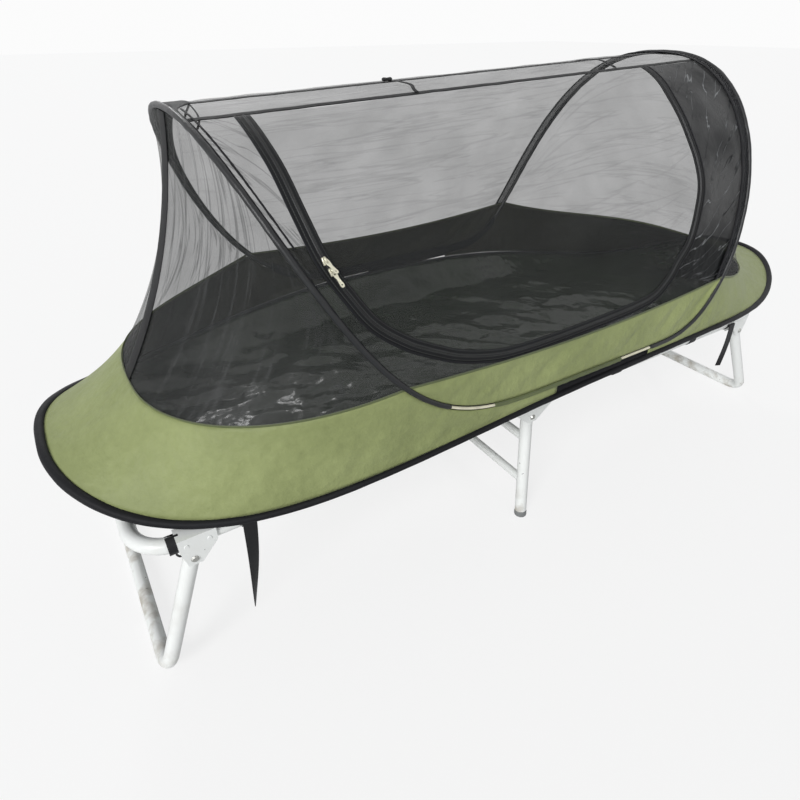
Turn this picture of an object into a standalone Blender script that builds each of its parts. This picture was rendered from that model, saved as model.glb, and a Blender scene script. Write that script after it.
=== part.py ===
"""Tent cot: a folding camp cot of white steel tube with a sprung mosquito-net tent tied on top.

Metres, +Z up. X runs along the bed, the low arch is at -X, and the door is on the -Y side.
The origin lies on the floor under the middle of the tent.

The tent has two sprung rods. The base ring lies on the cot. The second rod, the saddle, touches
the base ring at the middle of both sides and bends up into two arches that lean away from each other.
Each net or cloth panel is a thin closed sheet between these curves, cut back from its neighbours.
"""

import math

import bpy
from mathutils import Matrix, Vector

# Driving sizes of the cot
TUBE_DIAMETER = 0.028
RAIL_HEIGHT = 0.315
RAIL_HALF_SPACING = 0.265
COT_CENTRE_X = -0.0645
COT_HALF_LENGTH = 0.861
FRAME_BEND_RADIUS = 0.070
LEG_TO_FRAME_BEND = 0.0115
LEG_BEND_RADIUS = 0.045
LEFT_LEG_SPLAY = 0.1005
RIGHT_LEG_SPLAY = 0.185
MIDDLE_LEG_OFFSET_X = -0.022
MIDDLE_LEG_LEAN = 0.010
MIDDLE_LEG_SPREAD = 0.034
CROSS_BAR_DIAMETER = 0.020
UPPER_BAR_HEIGHT = 0.215
LOWER_BAR_HEIGHT = 0.100
PIVOT_DROP = 0.033

# Driving sizes of the tent
TENT_HALF_LENGTH = 1.010
TENT_HALF_WIDTH = 0.376
RING_ABOVE_RAIL = 0.072
RING_CORNER_SAG = 0.028
RING_TWIST = 0.024
HEM_DEPTH = 0.015
FOOT_HALF_SPAN = 0.136
LEFT_ARCH_LEAN = 0.686
LEFT_ARCH_RISE = 0.533
RIGHT_ARCH_LEAN = 0.481
RIGHT_ARCH_RISE = 0.576
LEFT_SEAM_HALF_LENGTH = 0.845
RIGHT_SEAM_HALF_LENGTH = 0.720
SEAM_RISE = 0.108
LEFT_STRAP_X = -0.745
RIGHT_STRAP_X = 0.655
END_NET_PULL = 0.055

# Sections
ROD_DIAMETER = 0.0055
SLEEVE_WALL = 0.0014
BINDING_WIDTH = 0.016
BINDING_HEIGHT = 0.009
NET_THICKNESS = 0.0010
CLOTH_THICKNESS = 0.0012
SHEET_THICKNESS = 0.0014
ZIP_TAPE_WIDTH = 0.010
ZIP_TAPE_THICKNESS = 0.0016
RIDGE_TAPE_WIDTH = 0.016
TAPE_THICKNESS = 0.0012
WEBBING_WIDTH = 0.025
WEBBING_THICKNESS = 0.0015
BRACKET_SHEET = 0.0020
PIN_DIAMETER = 0.008
RIVET_DIAMETER = 0.005

# Clearances
GAP = 0.0003
HINGE_GAP = 0.0008
BRACKET_GAP = 0.0008
CUT_OVERRUN = 0.004
CAP_GAP = 0.0006
BUCKLE_GAP = 0.0005
SLEEVE_CLEARANCE = 0.0016

# Shape numbers without a unit
RING_POWER = 2.56
SEAM_POWER = 2.6
ARCH_REACH_POWER = 0.30
ARCH_WIDTH_POWER = 0.84
SEAM_ARCH_ANGLE = 0.2155
SEAM_DIP_SHARE = 0.025
DOOR_TOP_SHARE = 0.14
LOW_RUN_SHARES = (0.0, 0.14, 0.27, 0.42, 0.57, 0.78, 1.0)
HIGH_RUN_STEPS = 8
TUBE_SIDES = 12
ROD_SIDES = 6
CHANNEL_SIDES = 6
RIVET_SIDES = 8
PIN_SIDES = 10
ZIP_SIDE_STEPS = 14
ZIP_BOTTOM_STEPS = 14
HEM_SHARES = (0.335, 0.665)
RIVET_SHARES = (-0.6, 0.6)
UPPER_SLIDER_SHARE = 0.558
LOWER_SLIDER_SHARE = 0.581
UPPER_PULL_LIFT = 0.50

# Zip line on the door side's panel, as shares of the way from the left to the right arch, and of the
# quarter turn from the ridge towards the arches' feet
ZIP_LEFT_SHARES = (
    (0.073, DOOR_TOP_SHARE), (0.067, 0.250), (0.061, 0.345), (0.049, 0.460), (0.040, 0.558),
    (0.042, 0.640), (0.050, 0.710), (0.078, 0.765), (0.108, 0.797),
)
ZIP_BOTTOM_SHARES = (
    (0.108, 0.797), (0.150, 0.829), (0.215, 0.854), (0.283, 0.864), (0.400, 0.866),
    (0.548, 0.863), (0.660, 0.857), (0.719, 0.845), (0.757, 0.815), (0.783, 0.775),
)
ZIP_RIGHT_SHARES = (
    (0.783, 0.775), (0.812, 0.732), (0.829, 0.659), (0.838, 0.594), (0.832, 0.520),
    (0.822, 0.440), (0.817, 0.319), (0.824, 0.230), (0.830, DOOR_TOP_SHARE),
)

TUBE_RADIUS = TUBE_DIAMETER / 2
ROD_RADIUS = ROD_DIAMETER / 2
SLEEVE_INNER = ROD_RADIUS / math.cos(math.pi / ROD_SIDES) + GAP
SLEEVE_RADIUS = SLEEVE_INNER + SLEEVE_WALL
PIVOT_HEIGHT = RAIL_HEIGHT - PIVOT_DROP
LEG_TOP_RISE = TUBE_RADIUS * 0.85
BRACKET_TOP = RAIL_HEIGHT + TUBE_RADIUS + GAP + BRACKET_SHEET
FLOOR_UNDERSIDE = BRACKET_TOP + GAP
FLOOR_LEVEL = FLOOR_UNDERSIDE + CLOTH_THICKNESS / 2
SHEET_TOP = RAIL_HEIGHT + TUBE_RADIUS
RING_HEIGHT = RAIL_HEIGHT + RING_ABOVE_RAIL
FOOT_HEIGHT = RING_HEIGHT + RING_CORNER_SAG + BINDING_HEIGHT / 2 + HEM_DEPTH + SLEEVE_RADIUS
SEAM_END_HEIGHT = RING_HEIGHT + SEAM_RISE
LEG_REACH = COT_HALF_LENGTH - FRAME_BEND_RADIUS - LEG_TO_FRAME_BEND
LEFT_PIVOT_X = COT_CENTRE_X - LEG_REACH
RIGHT_PIVOT_X = COT_CENTRE_X + LEG_REACH
MIDDLE_PIVOT_X = COT_CENTRE_X + MIDDLE_LEG_OFFSET_X
UP = Vector((0, 0, 1))
ALONG = Vector((1, 0, 0))
DEPTH = Vector((0, 1, 0))


def clear_scene():
    """Remove every object of the starting scene."""
    for obj in list(bpy.data.objects):
        bpy.data.objects.remove(obj, do_unlink=True)


def material(name, colour, roughness, metallic=0.0):
    """A Principled material with one colour."""
    mat = bpy.data.materials.new(name)
    mat.use_nodes = True
    shader = mat.node_tree.nodes["Principled BSDF"]
    shader.inputs["Base Color"].default_value = (*colour, 1.0)
    shader.inputs["Roughness"].default_value = roughness
    shader.inputs["Metallic"].default_value = metallic
    mat.diffuse_color = (*colour, 1.0)
    return mat


def finishes():
    """One material for each finish of the real object."""
    return {
        "paint": material("white_paint", (0.84, 0.85, 0.83), 0.35),
        "steel": material("bracket_steel", (0.70, 0.71, 0.70), 0.40, 0.6),
        "zinc": material("rivet_zinc", (0.62, 0.62, 0.60), 0.35, 1.0),
        "plug": material("plastic_plug", (0.72, 0.73, 0.71), 0.50),
        "bed": material("bed_cloth", (0.05, 0.06, 0.05), 0.85),
        "webbing": material("black_webbing", (0.02, 0.02, 0.025), 0.75),
        "buckle": material("black_buckle", (0.02, 0.02, 0.02), 0.45),
        "rod": material("sprung_rod", (0.80, 0.80, 0.72), 0.40),
        "binding": material("black_binding", (0.02, 0.02, 0.03), 0.70),
        "green": material("green_cloth", (0.30, 0.37, 0.15), 0.80),
        "floor": material("dark_floor_cloth", (0.035, 0.045, 0.035), 0.55),
        "net": material("black_net", (0.06, 0.06, 0.065), 0.80),
        "tape": material("black_tape", (0.02, 0.02, 0.025), 0.70),
        "slider": material("cream_slider", (0.80, 0.80, 0.68), 0.35, 0.3),
    }


def empty(name, place, parent=None):
    """An empty that carries a sub-assembly or marks a joint's axis, at a place in the world."""
    obj = bpy.data.objects.new(name, None)
    bpy.context.scene.collection.objects.link(obj)
    attach(obj, place, parent)
    return obj


def attach(obj, place, parent):
    """Put an object at a place in the world, under an unturned parent if there is one."""
    obj.parent = parent
    obj.location = Vector(place) - (world_place(parent) if parent is not None else Vector((0, 0, 0)))


def world_place(obj):
    """World position of an unturned object."""
    place = obj.location.copy()
    if obj.parent is not None:
        place += world_place(obj.parent)
    return place


def add_piece(name, shape, mat, parent):
    """Make an object of a shape given in world places, with its origin at its parent's."""
    points, faces = shape
    home = world_place(parent)
    mesh = bpy.data.meshes.new(name)
    mesh.from_pydata([tuple(Vector(p) - home) for p in points], [], faces)
    mesh.update()
    mesh.shade_smooth()
    mesh.set_sharp_from_angle(angle=math.radians(40))
    mesh.materials.append(mat)
    obj = bpy.data.objects.new(name, mesh)
    bpy.context.scene.collection.objects.link(obj)
    attach(obj, home, parent)
    return obj


def combine(obj, shapes, operation):
    """Join closed shapes to an object, or cut them out of it, with an exact Boolean."""
    other = add_piece(f"{obj.name}_{operation.lower()}", joined(shapes), obj.data.materials[0], obj.parent)
    other.hide_render = True
    other.display_type = "WIRE"
    change = obj.modifiers.new(operation.lower(), "BOOLEAN")
    change.operation = operation
    change.solver = "EXACT"
    change.object = other


def joined(shapes):
    """Put several shapes into one list of points and faces."""
    points = []
    faces = []
    for more_points, more_faces in shapes:
        start = len(points)
        points += list(more_points)
        faces += [tuple(i + start for i in face) for face in more_faces]
    return points, faces


def resampled(points, count, closed=False):
    """Evenly spaced points along a polyline."""
    line = [Vector(p) for p in points]
    if closed:
        line.append(line[0])
    travel = [0.0]
    for a, b in zip(line, line[1:]):
        travel.append(travel[-1] + (b - a).length)
    steps = count if closed else count - 1
    out = []
    at = 0
    for k in range(count):
        wanted = travel[-1] * k / steps
        while at < len(line) - 2 and travel[at + 1] < wanted:
            at += 1
        span = travel[at + 1] - travel[at]
        share = (wanted - travel[at]) / span if span > 0 else 0.0
        out.append(line[at].lerp(line[at + 1], min(max(share, 0.0), 1.0)))
    return out


def smooth_curve(controls, steps):
    """Catmull-Rom curve through control points, of any number of coordinates."""
    ends = [controls[0], *controls, controls[-1]]
    out = []
    for i in range(1, len(ends) - 2):
        a, b, c, d = (Vector(p) for p in ends[i - 1 : i + 3])
        bend = a * 2 - b * 5 + c * 4 - d
        twist = b * 3 - a - c * 3 + d
        for k in range(steps):
            s = k / steps
            out.append((b * 2 + (c - a) * s + bend * s**2 + twist * s**3) / 2)
    out.append(Vector(ends[-1]))
    return out


def bent(corners, radius, steps):
    """Polyline through corners, each inner corner rounded to an arc of the radius."""
    line = [Vector(c) for c in corners]
    out = [line[0]]
    for before, corner, after in zip(line, line[1:], line[2:]):
        back = (before - corner).normalized()
        ahead = (after - corner).normalized()
        half = back.angle(ahead) / 2
        reach = radius / math.tan(half)
        centre = corner + (back + ahead).normalized() * (radius / math.sin(half))
        start = corner + back * reach - centre
        end = corner + ahead * reach - centre
        turn = start.angle(end)
        for k in range(steps + 1):
            s = k / steps
            spoke = (start * math.sin((1 - s) * turn) + end * math.sin(s * turn)) / math.sin(turn)
            out.append(centre + spoke)
    out.append(line[-1])
    return out


def tangents(points, closed):
    """Direction of travel at each point of a line."""
    count = len(points)
    out = []
    for i in range(count):
        before = points[i - 1] if closed or i > 0 else points[0]
        after = points[(i + 1) % count] if closed or i < count - 1 else points[-1]
        out.append((after - before).normalized())
    return out


def sweep(points, section, closed=False, ups=None):
    """Carry a closed section, given as (sideways, upwards) pairs, along a line of points.

    The section's sideways direction lies to the right of travel, and ups may give an upward
    direction for each point in place of +Z.
    """
    line = [Vector(p) for p in points]
    size = len(section)
    rings = []
    for i, (point, ahead) in enumerate(zip(line, tangents(line, closed))):
        up = ups[i] if ups else UP
        side = ahead.cross(up).normalized()
        top = side.cross(ahead).normalized()
        rings.append([point + side * a + top * b for a, b in section])
    faces = []
    count = len(rings)
    for i in range(count if closed else count - 1):
        j = (i + 1) % count
        for k in range(size):
            m = (k + 1) % size
            faces.append((i * size + k, j * size + k, j * size + m, i * size + m))
    if not closed:
        faces.append(tuple(range(size)))
        faces.append(tuple((count - 1) * size + k for k in reversed(range(size))))
    return [p for ring in rings for p in ring], faces


def round_section(radius, sides, squash=1.0):
    """Counter-clockwise regular polygon with a flat at its bottom."""
    out = []
    for k in range(sides):
        angle = 2 * math.pi * (k + 0.5) / sides - math.pi / 2
        out.append((radius * math.cos(angle), radius * math.sin(angle) * squash))
    return out


def bar_section(width, height):
    """Counter-clockwise rectangle about the line."""
    w = width / 2
    h = height / 2
    return [(-w, -h), (w, -h), (w, h), (-w, h)]


def channel_section(inner, outer_wide, outer_high, sides, mouth):
    """Section of a cloth channel round a rod, open by a slit at the angle of the mouth."""
    slit = math.radians(10)
    angles = [mouth + slit + (2 * math.pi - 2 * slit) * k / sides for k in range(sides + 1)]
    outside = [(outer_wide * math.cos(a), outer_high * math.sin(a)) for a in angles]
    inside = [(inner * math.cos(a), inner * math.sin(a)) for a in reversed(angles)]
    return outside + inside


def sheet_solid(rows, thickness):
    """Closed thin sheet about a grid of points, with its wall split evenly to both sides."""
    grid = [[Vector(p) for p in row] for row in rows]
    high = len(grid)
    wide = len(grid[0])
    front = []
    back = []
    for i in range(high):
        for j in range(wide):
            down = grid[min(i + 1, high - 1)][j] - grid[max(i - 1, 0)][j]
            across = grid[i][min(j + 1, wide - 1)] - grid[i][max(j - 1, 0)]
            normal = across.cross(down)
            if normal.length < 1e-12:
                inner = min(max(j, 1), wide - 2)
                down = grid[min(i + 1, high - 1)][inner] - grid[max(i - 1, 0)][inner]
                normal = across.cross(down)
            normal.normalize()
            front.append(grid[i][j] + normal * thickness / 2)
            back.append(grid[i][j] - normal * thickness / 2)
    count = high * wide
    faces = []
    for i in range(high - 1):
        for j in range(wide - 1):
            a = i * wide + j
            faces.append((a, a + wide, a + wide + 1, a + 1))
            faces.append((count + a, count + a + 1, count + a + wide + 1, count + a + wide))
    rim = [j for j in range(wide)]
    rim += [i * wide + wide - 1 for i in range(1, high)]
    rim += [(high - 1) * wide + j for j in range(wide - 2, -1, -1)]
    rim += [i * wide for i in range(high - 2, 0, -1)]
    for a, b in zip(rim, rim[1:] + rim[:1]):
        faces.append((a, b, count + b, count + a))
    return outward(front + back, faces)


def outward(points, faces):
    """Turn a closed shape's faces round if it encloses a negative volume."""
    volume = 0.0
    for face in faces:
        first = Vector(points[face[0]])
        for b, c in zip(face[1:], face[2:]):
            volume += first.dot(Vector(points[b]).cross(Vector(points[c])))
    if volume < 0:
        faces = [tuple(reversed(face)) for face in faces]
    return points, faces


def box_shape(centre, size, turn=None):
    """Closed box, with its own axes if a rotation matrix is given."""
    frame = turn if turn is not None else Matrix.Identity(3)
    points = []
    for x in (-0.5, 0.5):
        for y in (-0.5, 0.5):
            for z in (-0.5, 0.5):
                points.append(Vector(centre) + frame @ Vector((x * size[0], y * size[1], z * size[2])))
    faces = [(0, 1, 3, 2), (4, 6, 7, 5), (0, 4, 5, 1), (2, 3, 7, 6), (0, 2, 6, 4), (1, 5, 7, 3)]
    return outward(points, faces)


def turned(start, axis, stations, sides):
    """Solid of revolution: stations are (distance along the axis, radius) pairs."""
    ahead = Vector(axis).normalized()
    side = ahead.cross(UP if abs(ahead.z) < 0.9 else ALONG).normalized()
    top = ahead.cross(side)
    points = []
    for travel, radius in stations:
        for k in range(sides):
            angle = 2 * math.pi * (k + 0.5) / sides
            spoke = side * math.cos(angle) + top * math.sin(angle)
            points.append(Vector(start) + ahead * travel + spoke * radius)
    faces = []
    for i in range(len(stations) - 1):
        for k in range(sides):
            m = (k + 1) % sides
            faces.append((i * sides + k, i * sides + m, (i + 1) * sides + m, (i + 1) * sides + k))
    faces.append(tuple(reversed(range(sides))))
    faces.append(tuple((len(stations) - 1) * sides + k for k in range(sides)))
    return outward(points, faces)


def superellipse(angle, half_long, half_wide, power):
    """Point of a rounded oval at an angle."""
    c = math.cos(angle)
    s = math.sin(angle)
    x = half_long * math.copysign(abs(c) ** (2 / power), c)
    y = half_wide * math.copysign(abs(s) ** (2 / power), s)
    return x, y


def ring_point(angle):
    """Point on the axis of the base ring."""
    x, y = superellipse(angle, TENT_HALF_LENGTH, TENT_HALF_WIDTH, RING_POWER)
    z = RING_HEIGHT + RING_CORNER_SAG * math.cos(4 * angle) - RING_TWIST * math.sin(2 * angle)
    return Vector((x, y, z))


def ring_end(side, count_low, count_end):
    """Base ring round one end, from near to far, matched to the arch's low runs and the seam."""
    fine = 400
    wider = 1.08

    def angle_at(x):
        return math.acos((abs(x) / TENT_HALF_LENGTH) ** (RING_POWER / 2))

    foot = angle_at(FOOT_HALF_SPAN)
    cross = angle_at(arch_point(side, SEAM_ARCH_ANGLE).x * wider)

    def run(start, end, count):
        line = []
        for k in range(fine + 1):
            angle = start + (end - start) * k / fine
            line.append(ring_point(angle if side > 0 else math.pi - angle))
        return resampled(line, count)

    near = run(-foot, -cross, count_low)
    middle = run(-cross, cross, count_end)
    far = run(cross, foot, count_low)
    return near[:-1] + middle + far[1:]


def arch_point(side, angle):
    """Point on an arch of the saddle rod: angle 0 at the near foot, half a turn at the far foot."""
    lean = LEFT_ARCH_LEAN if side < 0 else RIGHT_ARCH_LEAN
    rise = LEFT_ARCH_RISE if side < 0 else RIGHT_ARCH_RISE
    s = max(math.sin(angle), 0.0)
    c = math.cos(angle)
    x = side * (FOOT_HALF_SPAN + (lean - FOOT_HALF_SPAN) * s**ARCH_REACH_POWER)
    y = -TENT_HALF_WIDTH * math.copysign(abs(c) ** ARCH_WIDTH_POWER, c)
    z = FOOT_HEIGHT + (RING_HEIGHT + rise - FOOT_HEIGHT) * s
    return Vector((x, y, z))


def spread_angles(start, end, shares):
    """Arch angles at the given shares of the left arch's length between two angles."""
    fine = 400
    angles = [start + (end - start) * k / fine for k in range(fine + 1)]
    travel = [0.0]
    for a, b in zip(angles, angles[1:]):
        travel.append(travel[-1] + (arch_point(-1, b) - arch_point(-1, a)).length)
    out = []
    for share in shares:
        at = min(range(fine + 1), key=lambda k: abs(travel[k] - share * travel[-1]))
        out.append(angles[at])
    return out


def arch_angles():
    """Angles of an arch's corner points, from the near foot to its top."""
    low = spread_angles(0.0, SEAM_ARCH_ANGLE, LOW_RUN_SHARES)
    high_shares = [k / HIGH_RUN_STEPS for k in range(HIGH_RUN_STEPS + 1)]
    high = spread_angles(SEAM_ARCH_ANGLE, math.pi / 2, high_shares)
    return low[:-1] + high


def arch_line(side):
    """Corner points of a whole arch, from the near to the far foot."""
    half = arch_angles()
    whole = half + [math.pi - a for a in reversed(half[:-1])]
    return [arch_point(side, a) for a in whole]


def seam_share(across):
    """How far down the long side its seam lies, as a share of the arches' quarter turn."""
    at_arch = 1 - SEAM_ARCH_ANGLE / (math.pi / 2)
    return at_arch + SEAM_DIP_SHARE * 4 * across * (1 - across)


def seam_end(side):
    """Seam between cloth and net round one end, from the near arch to the far arch."""
    count = 2 * HIGH_RUN_STEPS + 1
    cross = arch_point(side, SEAM_ARCH_ANGLE)
    half_long = LEFT_SEAM_HALF_LENGTH if side < 0 else RIGHT_SEAM_HALF_LENGTH
    part = (abs(cross.x) / half_long) ** SEAM_POWER
    half_wide = abs(cross.y) / (1 - part) ** (1 / SEAM_POWER)
    start = math.acos((abs(cross.x) / half_long) ** (SEAM_POWER / 2))
    fine = 200
    line = []
    for k in range(fine + 1):
        x, y = superellipse(-start + 2 * start * k / fine, half_long, half_wide, SEAM_POWER)
        near_arch = (half_long - x) / (half_long - abs(cross.x))
        line.append(Vector((side * x, y, SEAM_END_HEIGHT + (cross.z - SEAM_END_HEIGHT) * near_arch**2)))
    return resampled(line, count)


def panel_point(across, turn, mirror=False):
    """Point of a long side: across from the left to the right arch, and down from the ridge."""
    angle = math.pi / 2 * (1 - turn)
    half = PANEL_ANGLES
    at = 0
    while at < len(half) - 2 and half[at + 1] < angle:
        at += 1
    share = (angle - half[at]) / (half[at + 1] - half[at])
    ends = []
    for side in (-1, 1):
        line = PANEL_ARCHES[side]
        ends.append(line[at].lerp(line[at + 1], share))
    point = ends[0].lerp(ends[1], across)
    if mirror:
        point.y = -point.y
    return point


def panel_turns(start, end):
    """Turns down the panel from start to end, with the arches' corner points between them."""
    between = [1 - a / (math.pi / 2) for a in reversed(PANEL_ANGLES)]
    room = 0.012
    return [start] + [t for t in between if start + room < t < end - room] + [end]


def panel_frame(across, turn):
    """Point, direction across, direction down and outward normal of the door side's panel."""
    step = 0.002
    here = panel_point(across, turn)
    wide = (panel_point(across + step, turn) - panel_point(across - step, turn)) / (2 * step)
    low = (panel_point(across, turn + step) - panel_point(across, turn - step)) / (2 * step)
    return here, wide, low, low.cross(wide).normalized()


def shifted(shares, move):
    """Shares of the panel point that lies a small move away along the panel."""
    _, wide, low, _ = panel_frame(*shares)
    a = wide.dot(wide)
    b = wide.dot(low)
    c = low.dot(low)
    p = wide.dot(move)
    q = low.dot(move)
    det = a * c - b * b
    return Vector((shares[0] + (c * p - b * q) / det, shares[1] + (a * q - b * p) / det))


def spread_shares(controls, steps):
    """Smooth line of panel shares through control points, evenly spaced on the panel."""
    fine = smooth_curve(controls, 10)
    places = [panel_point(*s) for s in fine]
    travel = [0.0]
    for a, b in zip(places, places[1:]):
        travel.append(travel[-1] + (b - a).length)
    out = []
    at = 0
    for k in range(steps + 1):
        wanted = travel[-1] * k / steps
        while at < len(fine) - 2 and travel[at + 1] < wanted:
            at += 1
        share = (wanted - travel[at]) / (travel[at + 1] - travel[at])
        out.append(fine[at].lerp(fine[at + 1], min(max(share, 0.0), 1.0)))
    return out


def zip_line():
    """Panel shares of the zip's middle line, with its left, bottom and right runs joined."""
    left = spread_shares(ZIP_LEFT_SHARES, ZIP_SIDE_STEPS)
    bottom = spread_shares(ZIP_BOTTOM_SHARES, ZIP_BOTTOM_STEPS)
    right = spread_shares(ZIP_RIGHT_SHARES, ZIP_SIDE_STEPS)
    return left[:-1] + bottom + right[1:]


def beside(shares, distance):
    """Move the zip's line of shares sideways along the panel, towards the door if the distance is
    positive. Its ends stay on the door's top edge."""
    out = []
    for i, here in enumerate(shares):
        before = panel_point(*shares[max(i - 1, 0)])
        after = panel_point(*shares[min(i + 1, len(shares) - 1)])
        ahead = (after - before).normalized()
        inside = panel_frame(*here)[3].cross(ahead).normalized()
        out.append(shifted(here, inside * distance))
    out[0].y = DOOR_TOP_SHARE
    out[-1].y = DOOR_TOP_SHARE
    return out


def inset(edge, inner, distances):
    """Move an edge's points into the sheet, square to the edge, but at most part of the way in."""
    most = 0.4
    out = []
    for k, (p, q) in enumerate(zip(edge, inner)):
        along = (edge[min(k + 1, len(edge) - 1)] - edge[max(k - 1, 0)]).normalized()
        into = q - p
        into -= along * into.dot(along)
        room = into.length
        distance = distances[k] if isinstance(distances, list) else distances
        out.append(p + into * (min(distance / room, most) if room > 0 else 0.0))
    return out


def trimmed(rows, top=0.0, bottom=0.0, left=0.0, right=0.0):
    """Draw the edges of a grid of points inwards by real distances."""
    grid = [[p.copy() for p in row] for row in rows]
    columns = [list(column) for column in zip(*rows)]
    if top:
        grid[0] = inset(rows[0], rows[1], top)
    if bottom:
        grid[-1] = inset(rows[-1], rows[-2], bottom)
    if left:
        for row, p in zip(grid, inset(columns[0], columns[1], left)):
            row[0] = p
    if right:
        for row, p in zip(grid, inset(columns[-1], columns[-2], right)):
            row[-1] = p
    return grid


def rivet_places():
    """Centre of every rivet through a rail, on the rail's axis."""
    places = []
    for _, pivot_x, shift, half in bracket_table():
        for share in RIVET_SHARES:
            for y in (-RAIL_HALF_SPACING, RAIL_HALF_SPACING):
                places.append(Vector((pivot_x + shift + share * half, y, RAIL_HEIGHT)))
    return places


def bracket_table():
    """Each bracket's name, pivot, shift along the rail and half length at the rail."""
    end_half = 0.032
    middle_half = 0.056
    lean_in = 0.012
    return (
        ("left", LEFT_PIVOT_X, lean_in, end_half),
        ("middle", MIDDLE_PIVOT_X, 0.0, middle_half),
        ("right", RIGHT_PIVOT_X, -lean_in, end_half),
    )


def cross_bore(place, radius, sides):
    """Cutter for a hole across a rail or leg and its bracket."""
    reach = TUBE_RADIUS + BRACKET_GAP + BRACKET_SHEET + CUT_OVERRUN
    return turned(place - Vector((0, reach, 0)), (0, 1, 0), ((0, radius), (2 * reach, radius)), sides)


def headed_pin(place, diameter, head_diameter, head_height, sides, head_gap):
    """Pin across a bracket with a head at both ends, on the bracket's outer faces."""
    outer = TUBE_RADIUS + BRACKET_GAP + BRACKET_SHEET + head_gap
    r = diameter / 2
    h = head_diameter / 2
    stations = (
        (0, h * 0.7),
        (head_height, h),
        (head_height, r),
        (head_height + 2 * outer, r),
        (head_height + 2 * outer, h),
        (2 * head_height + 2 * outer, h * 0.7),
    )
    return turned(place - Vector((0, outer + head_height, 0)), (0, 1, 0), stations, sides)


def build_frame(mats, cot):
    """The two U-bent halves of the bed frame, joined by the middle brackets."""
    rivet_bore = RIVET_DIAMETER / 2 + GAP
    for name, side in (("left_bed_frame", -1), ("right_bed_frame", 1)):
        joint = Vector((MIDDLE_PIVOT_X + side * GAP, 0, RAIL_HEIGHT))
        end = Vector((COT_CENTRE_X + side * COT_HALF_LENGTH, 0, RAIL_HEIGHT))
        rail = Vector((0, RAIL_HALF_SPACING, 0))
        path = bent([joint - rail, end - rail, end + rail, joint + rail], FRAME_BEND_RADIUS, 6)
        shape = outward(*sweep(path, round_section(TUBE_RADIUS, TUBE_SIDES)))
        frame = add_piece(name, shape, mats["paint"], cot)
        mine = [place for place in rivet_places() if (place.x - joint.x) * side > 0]
        combine(frame, [cross_bore(place, rivet_bore, RIVET_SIDES) for place in mine], "DIFFERENCE")


def bracket_shape(y, pivot_x, shift, half):
    """Folded sheet over a rail, with cheeks that reach down round the leg's top."""
    inner = TUBE_RADIUS + BRACKET_GAP
    outer = inner + BRACKET_SHEET
    web_under = RAIL_HEIGHT + TUBE_RADIUS + GAP
    cheek_end = RAIL_HEIGHT - TUBE_RADIUS * 0.6
    cheek_low = PIVOT_HEIGHT - TUBE_RADIUS * 0.9
    slim = TUBE_RADIUS * 0.85
    stations = (
        (pivot_x + shift - half, cheek_end),
        (pivot_x - slim, cheek_low),
        (pivot_x + slim, cheek_low),
        (pivot_x + shift + half, cheek_end),
    )
    points = []
    for x, low in stations:
        outline = (
            (-outer, low),
            (-outer, web_under + BRACKET_SHEET),
            (outer, web_under + BRACKET_SHEET),
            (outer, low),
            (inner, low),
            (inner, web_under),
            (-inner, web_under),
            (-inner, low),
        )
        points += [Vector((x, y + a, z)) for a, z in outline]
    return skinned(points, len(stations), 8)


def skinned(points, count, size):
    """Closed solid through rings of points, with the end rings filled."""
    faces = []
    for i in range(count - 1):
        for k in range(size):
            m = (k + 1) % size
            faces.append((i * size + k, i * size + m, (i + 1) * size + m, (i + 1) * size + k))
    faces.append(tuple(reversed(range(size))))
    faces.append(tuple((count - 1) * size + k for k in range(size)))
    return outward(points, faces)


def build_brackets(mats, cot):
    """Six brackets riveted over the rails, and the pivot pins that they hold."""
    pin_bore = PIN_DIAMETER / 2 + GAP
    rivet_head = 0.010
    rivet_height = 0.002
    pin_head = 0.014
    pin_height = 0.0025
    sunk = -BRACKET_SHEET / 2
    for name, pivot_x, shift, half in bracket_table():
        for side_name, y in (("near", -RAIL_HALF_SPACING), ("far", RAIL_HALF_SPACING)):
            shape = bracket_shape(y, pivot_x, shift, half)
            bracket = add_piece(f"{name}_{side_name}_bracket", shape, mats["steel"], cot)
            pivot = Vector((pivot_x, y, PIVOT_HEIGHT))
            mine = [Vector((pivot_x + shift + s * half, y, RAIL_HEIGHT)) for s in RIVET_SHARES]
            rivets = []
            for place in mine:
                rivet = headed_pin(place, RIVET_DIAMETER, rivet_head, rivet_height, RIVET_SIDES, sunk)
                rivets.append(rivet)
            combine(bracket, rivets, "UNION")
            combine(bracket, [cross_bore(pivot, pin_bore, PIN_SIDES)], "DIFFERENCE")
            pin = headed_pin(pivot, PIN_DIAMETER, pin_head, pin_height, PIN_SIDES, GAP)
            add_piece(f"{name}_{side_name}_pivot_pin", pin, mats["zinc"], cot)


def build_end_leg(name, pivot_x, foot_x, mats, cot):
    """A U-bent end leg on its pivot pins."""
    axis = empty(name + "_axis", (pivot_x, 0, PIVOT_HEIGHT), cot)
    pivot = Vector((pivot_x, 0, PIVOT_HEIGHT))
    foot = Vector((foot_x, 0, TUBE_RADIUS * math.cos(math.pi / TUBE_SIDES)))
    top = pivot - (foot - pivot).normalized() * LEG_TOP_RISE
    near = Vector((0, -RAIL_HALF_SPACING, 0))
    path = bent([top + near, foot + near, foot - near, top - near], LEG_BEND_RADIUS, 6)
    shape = sweep(path, round_section(TUBE_RADIUS, TUBE_SIDES), ups=[ALONG] * len(path))
    leg = add_piece(name, outward(*shape), mats["paint"], axis)
    bores = []
    for y in (-RAIL_HALF_SPACING, RAIL_HALF_SPACING):
        bores.append(cross_bore(Vector((pivot_x, y, PIVOT_HEIGHT)), PIN_DIAMETER / 2 + GAP, PIN_SIDES))
    combine(leg, bores, "DIFFERENCE")


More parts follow.
